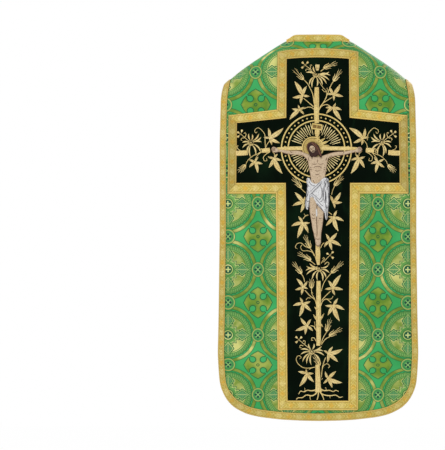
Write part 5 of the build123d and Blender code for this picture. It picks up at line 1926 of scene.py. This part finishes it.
def stitch_line(mesh, side, fn, pts, w, mat=1, h=0.00045, base=BASE, n=24, taper=True):
    path = curve(np.array(pts, float), n)
    b = base + fn(path) / 1000 - 0.0001
    t = np.linspace(0, 1, len(path))
    half = w / 2000 * (np.clip(np.minimum(t, 1 - t) * 8 + 0.4, 0, 1) if taper else 1.0)
    ribbon(mesh, side, path / 1000, half, h, b[:, None], 2, mat)


FIG = BASE + 0.0006
m = Mesh()
# legs: the far one first, the near one over it, and the crossed feet
far = relief(m, 1, [
    (2, -470), (-18, -470), (-19.5, -500), (-18.2, -528), (-16.4, -548), (-15.4, -560), (-12.4, -578), (-10.0, -594),
    (-9.2, -606), (-9.6, -616), (-7, -624), (-1.5, -628), (4.4, -624), (6.2, -614), (5.2, -602), (2.6, -588),
    (3.4, -568), (4.2, -548), (4.0, -520),
], 4.4, 6.5, base=FIG, folds=[([(-7, -535), (-6, -548)], 0.9, 5), ([(-7, -572), (-4, -590)], 0.4, 3)])
near_leg = relief(m, 1, [
    (-2, -466), (27, -466), (26.6, -500), (25.4, -525), (22.6, -541), (19.8, -556), (17.2, -574), (12.8, -590),
    (10.2, -603), (7.4, -608), (3.2, -604), (1.8, -590), (2.2, -570), (3.4, -550), (3.0, -528), (2.0, -500),
], 5.6, 7.0, base=FIG, folds=[([(14, -528), (13, -541)], 1.1, 5), ([(14.5, -505), (14, -522)], 0.3, 4), ([(9, -560), (6, -590)], 0.5, 3)])
feet = relief(m, 1, [
    (7.2, -598), (8.6, -610), (7.4, -620), (4.2, -627.5), (-0.8, -630.2), (-5.6, -628.0), (-8.2, -620), (-7.2, -608),
    (-4.4, -599), (1, -596),
], 6.8, 5.5, base=FIG, folds=[([(1.5, -604), (0.4, -620)], 0.8, 2.5)])
# arms
arm_l = relief(m, 1, [
    (30, -371), (36.5, -359), (46, -351.8), (60, -349.4), (74, -348.4), (86, -347.6), (98, -344.6), (112, -340.4),
    (121, -339.2), (121.2, -332.6), (110, -333.0), (97, -334.6), (85, -336.4), (70, -336.2), (56, -336.8), (42, -341.6),
    (30, -345.8), (20, -351),
], 5.2, 6.5, base=FIG, folds=[([(40, -349), (60, -343)], 0.8, 4), ([(72, -342), (92, -340)], 0.4, 3)])
arm_r = relief(m, 1, [
    (-28, -372), (-30.5, -361), (-38, -356.4), (-52, -352.8), (-66, -350.6), (-79, -349.0), (-91, -346.6), (-104, -342.8),
    (-114.6, -340.6), (-115.0, -334.0), (-103, -334.6), (-90, -337.0), (-78, -339.0), (-62, -339.6), (-48, -341.6),
    (-36, -344.4), (-26, -347.8), (-14, -352),
], 5.2, 6.5, base=FIG, folds=[([(-36, -351), (-52, -347)], 0.8, 4), ([(-70, -344.5), (-88, -341.5)], 0.4, 3)])
hand_l = relief(m, 1, [
    (118.5, -331.4), (124, -328.6), (130, -325.4), (136, -323.8), (140.6, -326.6), (142.6, -331.6), (141.2, -337.4),
    (137, -341.2), (131, -342.4), (125, -341.0), (118.5, -339.4),
], 4.8, 4.6, base=FIG)
hand_r = relief(m, 1, [
    (-112.5, -332.4), (-118, -329.0), (-123, -325.8), (-129, -324.8), (-133.4, -328.0), (-135.2, -333.0), (-133.6, -338.6),
    (-129, -341.8), (-123, -342.6), (-117.5, -341.4), (-112.5, -340.2),
], 4.8, 4.6, base=FIG)
torso = relief(m, 1, [
    (37.5, -347.5), (27, -349.4), (20, -352.6), (10, -354.4), (0, -354), (-10, -353), (-20, -350.2), (-29, -347.4),
    (-32.8, -355.0), (-30.2, -366), (-27.4, -380), (-25.8, -395), (-23.2, -408), (-21.8, -420), (-22, -440), (0, -446),
    (22, -444), (21.6, -428), (23.4, -410), (25.8, -396), (28.6, -380), (31.2, -366), (34.6, -356),
], 6.2, 9.5, base=FIG, folds=[
    ([(18, -376.5), (9, -378.2), (2.5, -375.6)], -1.0, 1.8), ([(-1, -375.6), (-8, -378.0), (-17, -375.6)], -1.0, 1.8),
    ([(14, -366)] * 2, 0.7, 7), ([(-11, -366)] * 2, 0.7, 7), ([(1, -362), (1, -376), (1, -398), (2, -414)], -0.6, 1.5),
    ([(20, -392), (11, -385.5), (2, -383.5), (-8, -385.5), (-17, -391)], -0.6, 1.6), ([(2, -430)] * 2, 0.6, 8),
])
for fn, pts in (
    (torso, [(18, -376.8), (9.5, -378.6), (2.6, -376.0)]), (torso, [(-0.6, -376.0), (-8, -378.4), (-16.6, -375.8)]),
    (torso, [(1.0, -364), (1.0, -372)]), (torso, [(13, -388.4), (5, -384.6), (-3, -384.8), (-11, -388.6)]),
    (torso, [(8.5, -397), (1.6, -398.8), (-5.6, -397)]), (torso, [(8, -408), (2, -409.6), (-4, -408)]),
    (torso, [(1.4, -418.0), (1.4, -420.6)]), (torso, [(24, -386), (19.5, -389.6)]), (torso, [(23.6, -392), (19, -395.2)]),
    (torso, [(-22, -386), (-18, -389.6)]), (torso, [(-21.6, -392), (-17.6, -395.2)]), (torso, [(29.5, -357), (26.6, -367)]),
    (torso, [(-27.2, -357), (-23.8, -367)]), (torso, [(15, -425), (10, -436)]), (torso, [(-13, -425), (-9, -436)]),
    (near_leg, [(18.6, -530), (13.4, -533.4), (9.2, -530.6)]), (near_leg, [(17.6, -541), (13.6, -543.6), (9.6, -541.2)]),
    (far, [(-3.2, -541), (-7.0, -543.6), (-11.2, -541)]), (near_leg, [(3.4, -500), (3.8, -528), (4.2, -552), (3.0, -576), (2.8, -596)]),
    (feet, [(4.4, -622), (3.2, -627)]), (feet, [(1.6, -623.6), (1.0, -628.6)]), (feet, [(-1.4, -623.8), (-1.6, -629)]),
    (feet, [(-4.2, -622.4), (-4.4, -627.4)]), (feet, [(6.6, -603), (1, -606.2), (-4.6, -603.6)]),
    (arm_l, [(84, -338.8), (80, -342.6)]), (arm_r, [(-80, -341.0), (-76, -344.6)]),
    (hand_l, [(128.6, -330.0), (134, -328.6), (139, -329.8)]), (hand_l, [(128.6, -333.4), (135, -332.4), (140.8, -333.4)]),
    (hand_l, [(128.6, -336.8), (134.6, -336.4), (139.6, -337.2)]), (hand_r, [(-121.2, -331.0), (-126.6, -329.6), (-131.4, -331.0)]),
    (hand_r, [(-121.2, -334.4), (-127.6, -333.6), (-133.4, -334.4)]), (hand_r, [(-121.2, -337.8), (-127, -337.6), (-132, -338.2)]),
):
    stitch_line(m, 1, fn, pts, 1.9, base=FIG)
# fine dark outline round the limbs
for fn, pts in (
    (arm_l, [(34, -369), (38, -359.4), (46, -353.0), (60, -350.6), (74, -349.6), (86, -348.8), (98, -345.8), (112, -341.6), (119, -340.6)]),
    (arm_l, [(24, -350.6), (30, -345.4), (42, -341.0), (56, -336.0), (70, -335.2), (85, -335.4), (97, -333.8), (110, -332.2), (118, -331.8)]),
    (arm_r, [(-31, -371), (-33, -362), (-39, -357.4), (-52, -353.8), (-66, -351.6), (-79, -350.0), (-91, -347.6), (-104, -343.8), (-113, -341.8)]),
    (arm_r, [(-20, -349.4), (-26, -347.2), (-36, -343.6), (-48, -340.8), (-62, -338.8), (-78, -338.0), (-90, -336.0), (-103, -333.8), (-112, -333.2)]),
    (torso, [(-31.8, -357), (-29.8, -368), (-27.2, -381), (-25.4, -395), (-23.0, -408), (-21.8, -420)]),
    (torso, [(34.0, -357), (31.0, -367), (28.4, -381), (25.6, -396), (23.2, -410), (21.8, -420)]),
    (far, [(-18.2, -500), (-17.2, -528), (-15.6, -548), (-14.4, -560), (-11.6, -578), (-9.4, -594)]),
    (near_leg, [(25.8, -506), (24.4, -525), (21.8, -541), (19.0, -556), (16.4, -574), (12.0, -590)]),
    (hand_l, [(121, -330.2), (130, -325.2), (137, -324.4), (141.6, -331.6), (137, -340.8), (131, -342.0), (121, -340.4)]),
    (hand_r, [(-115, -331.0), (-123, -325.6), (-130, -325.4), (-134.4, -333.0), (-129, -341.4), (-123, -342.2), (-115, -341.2)]),
):
    stitch_line(m, 1, fn, pts, 1.5, base=FIG, n=40)
figure = m.make("figure_silk", [FLESH, FLESH_LINE])
figure.data.set_sharp_from_angle(angle=math.radians(70))
finish_piece(figure, 1, "flesh_silk", "figure_body")

# head, with its hair and beard
m = Mesh()
HB = FIG + 0.0042
hair = relief(m, 1, [
    (21.4, -309.6), (12.6, -310.4), (4.4, -314.6), (-2.6, -321.4), (-6.0, -329.6), (-7.4, -336.6), (-10.8, -342.6),
    (-11.8, -350.0), (-10.6, -357.4), (-6.2, -358.4), (-4.6, -352.6), (-1.6, -350.6), (0.4, -349.6), (1.6, -350.6),
    (4.6, -355.4), (10.0, -356.4), (14.0, -353.6), (15.6, -355.6), (17.4, -360.4), (21.0, -356.8), (22.4, -350.6), (26.4, -346.6),
    (29.4, -339.0), (33.0, -331.4), (34.4, -322.6), (30.6, -314.6),
], 4.4, 5.0, base=HB, folds=[
    ([(20, -312), (10, -318), (0, -328), (-4, -340), (-8, -352)], -0.9, 1.2), ([(22, -314), (14, -321), (5, -330), (2, -340)], -0.9, 1.2),
    ([(23, -312), (30, -320), (31, -330), (27, -340), (21, -350)], -0.9, 1.2),
], power=0.5)
UP = np.array([0.36, 0.933])
SIDE = np.array([0.933, -0.36])          # toward image left
FACE = np.array([16.6, -332.6])


def on_face(a, b):
    return FACE + SIDE * a + UP * b


oval = []
for k in range(30):
    a = 2 * math.pi * k / 30
    b = 12.0 * math.sin(a)
    w = 8.4 * (1.0 - 0.16 * max(0, -math.sin(a)))
    oval.append(on_face(w * 1.12 * math.cos(a), b * 1.08))
face = relief(m, 1, oval, 2.6, 6.0, base=FIG + 0.0072, mat=1, gap=0.8, folds=[
    ([on_face(0, 2.4), on_face(0, -3.6)], 1.1, 1.3), ([on_face(3.6, 1.2)] * 2, -0.7, 2.0), ([on_face(-3.6, 1.2)] * 2, -0.7, 2.0),
    ([on_face(4.2, -3.4)] * 2, 0.4, 2.4), ([on_face(-4.2, -3.4)] * 2, 0.4, 2.4), ([on_face(-4, 3.4), on_face(4, 3.4)], 0.3, 1.4),
    ([on_face(-1.8, -7.4), on_face(1.8, -7.4)], 0.5, 1.1),
])
FB = FIG + 0.0072
for pts, w, mat in (
    ([on_face(-6.0, 0.5), on_face(-3.9, -0.6), on_face(-1.9, 0.4)], 1.7, 3),
    ([on_face(6.0, 0.5), on_face(3.9, -0.6), on_face(1.9, 0.4)], 1.7, 3),
    ([on_face(-6.6, 2.7), on_face(-4.0, 4.0), on_face(-1.7, 3.0)], 1.6, 3),
    ([on_face(6.6, 2.7), on_face(4.0, 4.0), on_face(1.7, 3.0)], 1.6, 3),
    ([on_face(1.2, 2.6), on_face(1.0, -0.6), on_face(1.7, -3.6)], 0.9, 2),
    ([on_face(-1.6, -3.8), on_face(0, -4.5), on_face(1.6, -3.8)], 1.0, 2),
    ([on_face(-2.1, -7.4), on_face(0, -7.1), on_face(2.1, -7.4)], 1.2, 2),
):
    stitch_line(m, 1, face, pts, w, mat=mat, base=FB, n=14)
# moustache and beard: short strands that leave the lips free
for pts, w in (
    ([on_face(0.0, -5.1), on_face(2.8, -5.7), on_face(5.4, -8.8)], 2.7), ([on_face(0.0, -5.1), on_face(-2.8, -5.7), on_face(-5.4, -8.8)], 2.7),
    ([on_face(7.8, -1.0), on_face(7.2, -6.4), on_face(5.0, -11.0), on_face(1.6, -15.6)], 3.4),
    ([on_face(-7.8, -1.0), on_face(-7.2, -6.4), on_face(-5.0, -11.0), on_face(-1.6, -15.6)], 3.4),
    ([on_face(3.6, -8.8), on_face(2.8, -12.0), on_face(0.8, -16.0)], 3.0), ([on_face(-3.6, -8.8), on_face(-2.8, -12.0), on_face(-0.8, -16.0)], 3.0),
    ([on_face(0, -9.0), on_face(0, -12.0), on_face(0, -16.8)], 3.2),
    ([on_face(7.4, 7.8), on_face(4.0, 11.4), on_face(-0.4, 12.8)], 2.0), ([on_face(-7.4, 7.8), on_face(-4.0, 11.4), on_face(0.4, 12.8)], 2.0),
    ([on_face(8.8, 6.0), on_face(9.3, 0.0), on_face(8.6, -5.0)], 1.8), ([on_face(-8.8, 6.0), on_face(-9.3, 0.0), on_face(-8.6, -5.0)], 1.8),
):
    path = curve(np.array(pts, float), 18)
    b = FB + np.minimum(face(path), 2.6) / 1000 - 0.0004
    t = np.linspace(0, 1, len(path))
    ribbon(m, 1, path / 1000, w / 2000 * np.clip(np.minimum(t, 1 - t) * 6 + 0.4, 0, 1), 0.0012, b[:, None], 3, 0)
for pts, w in (
    ([(-3, -330), (-7.6, -341), (-10.6, -350), (-9.6, -359.5)], 5.2), ([(-1, -334), (-4.6, -344), (-6.2, -355)], 3.8),
    ([(24, -344), (20.6, -350), (18.4, -356), (17.8, -362)], 4.8), ([(27, -340), (25.4, -347), (22.4, -354)], 3.8),
):
    path = curve(np.array(pts, float), 18)
    t = np.linspace(0, 1, len(path))
    b = np.full((len(path), 1), HB + 0.0026)
    ribbon(m, 1, path / 1000, w / 2000 * np.clip(1.25 - t, 0.2, 1), 0.0016, b, 3, 0)
# a few locks laid over the hair
for pts in (
    [(20, -311), (9, -316), (0, -327), (-5, -341), (-8.6, -356)], [(21, -312), (12, -318), (3, -328), (-2, -339), (-6.6, -350)],
    [(24, -311), (31, -320), (31.4, -331), (27, -342), (20.6, -355)], [(20, -313), (13, -319), (6.4, -327), (4.0, -337)],
    [(-4, -331), (-7.6, -341), (-9.2, -353)],
):
    stitch_line(m, 1, hair, pts, 1.5, mat=4, base=HB, h=0.0006)
HAIR_LIGHT = thread_material("hair_light_stitch", lin(62, 36, 26), lin(108, 68, 48), lin(140, 94, 66), pitch=0.0012, metal=0.0, painted_edge_shade=0.4, rough=0.5)
head = m.make("figure_head_silk", [HAIR, FLESH, FLESH_LINE, HAIR, HAIR_LIGHT])
head.data.set_sharp_from_angle(angle=math.radians(70))
finish_piece(head, 1, "hair_silk", "figure_head")

# linen round the hips
m = Mesh()
LIN = FIG + 0.0012
tail = relief(m, 1, [
    (-22, -418), (-31.5, -421), (-34.8, -440), (-35.4, -466), (-33.6, -500), (-31.0, -526), (-28.6, -545), (-25.4, -549),
    (-21.6, -540), (-20, -524), (-14, -500), (-12, -460),
], 5.6, 4.5, base=LIN, folds=[([(-28, -430), (-30, -470), (-27, -540)], 0.9, 2.0), ([(-23, -440), (-24, -480), (-23, -525)], -0.9, 1.6), ([(-32, -450), (-32.4, -500)], -0.7, 1.4)])
side_fold = relief(m, 1, [
    (18, -440), (24, -420), (32.6, -418.4), (35.4, -432), (31, -446), (33.8, -462), (36.4, -482), (38.4, -500), (36, -514),
    (30.4, -517.4), (26, -506), (25.2, -492), (22, -480), (14, -478), (10, -470),
], 5.2, 4.5, base=LIN, folds=[([(28, -440), (27, -470), (31, -510)], 0.9, 2.2), ([(22, -455), (23, -476)], -0.9, 1.5), ([(33, -470), (34, -505)], -0.7, 1.4)])
front_cloth = relief(m, 1, [
    (33, -424), (30, -440), (33, -452), (31, -470), (24, -480), (16, -479), (12, -486), (4, -500), (-6, -512), (-16, -523),
    (-22, -529), (-25, -510), (-29, -480), (-31, -450), (-30, -424), (-20, -417), (-12, -421), (-4, -430), (6, -436),
    (18, -432), (26, -420),
], 6.6, 5.0, base=LIN, folds=[
    ([(26, -470), (14, -456), (0, -443), (-14, -428)], 1.4, 3.4), ([(29, -462), (16, -447), (4, -438)], -0.8, 1.6),
    ([(22, -476), (8, -464), (-6, -450), (-18, -436)], -1.1, 1.5), ([(-20, -436), (-20, -470), (-24, -510)], -0.9, 1.6),
    ([(6, -470), (-4, -486), (-14, -500)], -0.8, 1.8), ([(-2, -462), (-10, -478), (-18, -494)], 0.8, 2.0), ([(16, -474), (6, -488), (-4, -500)], 0.6, 2.0),
])
knot = relief(m, 1, [(-18, -421), (-27, -418), (-33, -428), (-34, -446), (-29, -456), (-22, -452), (-18, -440)], 8.0, 5.0, base=LIN,
              folds=[([(-24, -422), (-28, -438), (-27, -452)], -1.2, 1.4)])
between = relief(m, 1, [(6.4, -508), (8.6, -520), (6.6, -534), (2.8, -540), (0.8, -530), (1.6, -516)], 3.4, 3.0, base=LIN + 0.0006, gap=0.9)
for fn, pts, w in (
    (front_cloth, [(22.5, -470), (10, -458), (-2, -446), (-11, -434)], 1.0), (front_cloth, [(25.5, -463), (13, -451), (1, -440), (-7, -431)], 1.0),
    (front_cloth, [(14, -484), (5, -497), (-5, -508), (-16, -520)], 1.0), (front_cloth, [(9, -478), (0, -490), (-9, -500), (-17, -506)], 0.9),
    (front_cloth, [(-16, -444), (-17, -470), (-13, -488), (-6, -492)], 1.0), (front_cloth, [(-24, -462), (-25, -490), (-26, -510)], 0.9),
    (front_cloth, [(24, -476), (17, -474), (12, -480)], 0.9), (side_fold, [(33, -436), (26, -445), (21, -443)], 1.0),
    (side_fold, [(26.5, -462), (25, -480), (28, -500), (30, -514)], 1.0), (side_fold, [(32, -466), (33.6, -488), (34.4, -506)], 0.8),
    (front_cloth, [(-8, -440), (-12, -462), (-10, -480), (-3, -486)], 0.9), (front_cloth, [(20, -466), (6, -476), (-2, -484)], 0.9),
    (front_cloth, [(27, -430), (20, -440), (8, -444)], 1.0), (front_cloth, [(-22, -424), (-20, -446), (-23, -470), (-21, -496)], 1.1),
    (front_cloth, [(30, -456), (29.6, -474), (26.5, -478)], 1.0), (front_cloth, [(-27, -440), (-28, -470), (-27, -500)], 0.9),
    (front_cloth, [(2, -497), (-8, -508), (-19, -524)], 0.9), (side_fold, [(36, -486), (31, -492), (27, -488)], 0.8),
    (side_fold, [(34, -506), (30, -511), (27, -507)], 0.9), (tail, [(-33.8, -440), (-34.4, -470), (-33.4, -500)], 0.9),
    (tail, [(-23.4, -512), (-25, -530), (-27, -546)], 0.9), (side_fold, [(32.8, -424), (27.5, -428), (24.5, -424)], 0.9),
    (tail, [(-31, -464), (-31.4, -500), (-29, -530)], 0.9), (tail, [(-26.6, -500), (-26.8, -524), (-25.6, -543)], 0.8),
    (knot, [(-21, -424), (-27, -434), (-28, -450)], 1.1), (knot, [(-30, -428), (-31.6, -440), (-29, -452)], 0.9), (knot, [(-20, -432), (-23, -443)], 0.9),
    (between, [(4.6, -512), (5.0, -530)], 0.8),
    (knot, [(-18.6, -424), (-23, -438), (-22, -454)], 1.2), (knot, [(-25.4, -420), (-30.4, -436), (-32.4, -448)], 1.2),
    (front_cloth, [(-24, -440), (-28.6, -462), (-26.4, -482)], 1.1), (front_cloth, [(-19.6, -450), (-24, -470), (-22.6, -492), (-24, -512)], 1.1),
    (front_cloth, [(30, -426), (31.4, -436), (28.6, -446)], 1.0), (front_cloth, [(-14, -452), (-15, -474), (-19, -492)], 0.9),
    (tail, [(-29, -444), (-32.8, -468), (-31.6, -486)], 1.1), (tail, [(-22, -500), (-26.6, -512), (-30.6, -506)], 1.0),
    (side_fold, [(29, -452), (30.6, -470), (35, -478)], 1.0), (side_fold, [(24, -446), (23.4, -462), (26, -474)], 1.0),
    (front_cloth, [(32, -426), (31, -440), (33.6, -452), (31.6, -469), (24.6, -479.4), (16.6, -478.4)], 0.9),
    (front_cloth, [(12.6, -485.4), (4.6, -499.4), (-5.4, -511.4), (-15.4, -522.4), (-21.4, -528)], 1.0),
):
    stitch_line(m, 1, fn, pts, w * 1.9, base=LIN)
# corded stitching along the rolled edge of the wrap
for i in range(15):
    t = i / 14
    a = np.array([24.5, -471.5]) * (1 - t) + np.array([-12.5, -432.5]) * t
    stitch_line(m, 1, front_cloth, [a + np.array([-0.4, -2.3]), a + np.array([2.2, 2.3])], 1.0, base=LIN, n=8)
linen = m.make("loincloth_silk", [LINEN, LINEN_LINE])
linen.data.set_sharp_from_angle(angle=math.radians(70))
finish_piece(linen, 1, "linen_silk", "loincloth")

# ---------------------------------------------------------------- the front
m = Mesh()
for i, (x, z, a) in enumerate((
    (-52, -362, 30), (52, -358, -30), (-48, -424, 150), (58, -424, -150), (-44, -487, 150), (58, -600, -150), (-46, -652, 150),
    (50, -668, -35), (-52, -815, 30), (52, -812, -30), (-48, -877, 150), (58, -878, -150), (-46, -946, 150), (54, -1060, -150),
)):
    leaf_at(m, -1, x, z, a, 0.86, i)
make_thread(m, "leaves_front_stitch", -1, nodes=("leaves_front",))
m = Mesh()
for x, z in ((-2, -300), (-8, -568), (-2, -748), (-6, -1020)):
    flower_at(m, -1, x, z, 1.0)
make_thread(m, "flowers_front_stitch", -1, nodes=("flowers_front",))
m = Mesh()
FB_LIST = (
    (-40, -268, 40), (-70, -296, 75), (66, -292, -70), (44, -478, -40), (56, -530, -75), (-66, -706, 45), (-72, -764, 75),
    (74, -752, -70), (48, -936, -40), (60, -985, -70), (-62, -1082, 70),
)
for x, z, a in FB_LIST:
    d = np.array([math.cos(math.radians(90 + a)), math.sin(math.radians(90 + a))])
    bud(m, -1, np.array([x, z]) - d * 9, np.array([x, z]) + d * 21)
make_thread(m, "buds_front_stitch", -1, nodes=("buds_front",))
m = Mesh()
for x, z, a in ((40, -258, 30), (-62, -540, 20), (44, -716, 20), (-62, -1000, 20)):
    cross_squares(m, -1, x, z, a)
make_thread(m, "crosslets_front_stitch", -1, nodes=("crosslets_front",))
m = Mesh()
for a, b in ((-322, -552), (-590, -732), (-770, -1004)):
    pts = [(-1.5, a), (-1, a * 0.7 + b * 0.3), (-3, a * 0.3 + b * 0.7), (-4, b)]
    bar(m, -1, pts, [7, 10.5, 10.5, 8])
bar(m, -1, [(-4, -1042), (-3, -1066), (-2, -1104)], [8, 10.5, 10.5])
for x, z, a in (
    (-52, -362, 30), (52, -358, -30), (-48, -424, 150), (58, -424, -150), (-44, -487, 150), (58, -600, -150), (-46, -652, 150),
    (50, -668, -35), (-52, -815, 30), (52, -812, -30), (-48, -877, 150), (58, -878, -150), (-46, -946, 150), (54, -1060, -150),
):
    s = 1 if x > 0 else -1
    rib(m, -1, [(x - s * 6, z - 4), (x * 0.5, z - 18), (s * 2, z - 34)], 2.3, 2.8)
for x, z, a in FB_LIST:
    d = np.array([math.cos(math.radians(90 + a)), math.sin(math.radians(90 + a))])
    q = np.array([x, z]) - d * 12
    s = 1 if x > 0 else -1
    rib(m, -1, [tuple(q), (q[0] * 0.55, q[1] - 14), (s * 1.5, q[1] - 34)], 2.1, 2.6)
for x, z, a in ((40, -258, 30), (-62, -540, 20), (44, -716, 20), (-62, -1000, 20)):
    s = 1 if x > 0 else -1
    rib(m, -1, [(x - s * 3, z - 6), (x * 0.6, z - 18), (s * 3, z - 34)], 2.0, 2.4)
for s, z in ((1, -389), (-1, -389), (1, -456), (-1, -640), (1, -700), (-1, -845), (1, -910), (-1, -975), (1, -1046)):
    rib(m, -1, [(s * 3, z - 14), (s * 14, z - 2), (s * 28, z + 1), (s * 38, z - 6), (s * 35, z - 13), (s * 29, z - 10)], 2.2, 1.6, h=0.0012)
for z in (-465, -610, -790, -923):
    for s in (1, -1):
        lobe(m, -1, (-1, z - 10), (-1 + s * 15, z + 10), half=3.2, h=0.0016)
for pts, w in (
    ([(-10, -1044), (-34, -1052), (-52, -1046), (-62, -1060), (-55, -1072), (-46, -1065)], 3.2),
    ([(-5, -1098), (-18, -1082), (-36, -1076), (-50, -1084)], 2.6), ([(2, -1100), (16, -1086), (34, -1080)], 2.6),
):
    rib(m, -1, pts, w, w * 0.6, h=0.0014)
make_thread(m, "stem_front_stitch", -1, [GOLD_STEM, GOLD_VEIN], nodes=("stem_front",))

# --------------------------------------------------------------------------
# The sheets of cloth and the flat sizes they were cut to
# --------------------------------------------------------------------------
def flat_area(grids):
    total = 0.0
    for X, S in grids:
        V_ = flat_v(X, S)
        a = (X[1:, 1:] - X[:-1, :-1]) * (V_[1:, :-1] - V_[:-1, 1:]) - (X[1:, :-1] - X[:-1, 1:]) * (V_[1:, 1:] - V_[:-1, :-1])
        total += float(np.abs(a).sum() / 2)
    return total


BACK_AREA, FRONT_AREA = flat_area(gb), flat_area(gf)

# --------------------------------------------------------------------------
# Floor, lights, camera
# --------------------------------------------------------------------------
floor_mat = Mat("pale_floor")
fn = floor_mat.noise(scale=1.2, detail=2.0)
floor_mat.set(Base_Color=floor_mat.shade(floor_mat.mix(fn, lin(254, 254, 254), lin(255, 255, 255)), 1.0), Roughness=1.0)
floor_mat.b.inputs["Specular IOR Level"].default_value = 0.0
fm = bpy.data.meshes.new("floor")
fm.from_pydata([(-30, -30, -3.2), (30, -30, -3.2), (30, 30, -3.2), (-30, 30, -3.2)], [], [(0, 1, 2, 3)])
fm.materials.append(floor_mat.m)
floor = bpy.data.objects.new("floor", fm)
bpy.context.scene.collection.objects.link(floor)

scene = bpy.context.scene
scene.view_settings.view_transform = "Standard"
scene.view_settings.look = "None"
scene.view_settings.exposure = 0.0
scene.view_settings.gamma = 1.0
world = bpy.data.worlds.new("studio")
scene.world = world
world.use_nodes = True
bg = world.node_tree.nodes["Background"]
bg.inputs["Color"].default_value = (1.0, 1.0, 1.0, 1.0)
bg.inputs["Strength"].default_value = 1.0


def area(name, place, target, size, energy):
    d = bpy.data.lights.new(name, "AREA")
    d.shape = "DISK"
    d.size = size
    d.energy = energy
    o = bpy.data.objects.new(name, d)
    scene.collection.objects.link(o)
    o.location = place
    o.rotation_euler = (Vector(target) - Vector(place)).to_track_quat("-Z", "Y").to_euler()
    return o


area("key_back", (1.9, 3.2, 1.5), (0, 0, -0.5), 1.6, 34)
area("key_front", (-1.9, -3.2, 1.5), (0, 0, -0.5), 1.6, 34)

cam = bpy.data.cameras.new("camera")
cam.lens = 240.0
cam.sensor_width = 36.0
cam.sensor_fit = "AUTO"
cam.clip_start, cam.clip_end = 0.1, 100.0
camera = bpy.data.objects.new("camera", cam)
scene.collection.objects.link(camera)
DIST = 9.15
PLANE_Y = 0.062
MID_Z = -0.5627
camera.location = (0.0, PLANE_Y + DIST, MID_Z)
aim = Vector((0.291, PLANE_Y, MID_Z))
camera.rotation_euler = (aim - camera.location).to_track_quat("-Z", "Y").to_euler()
scene.camera = camera
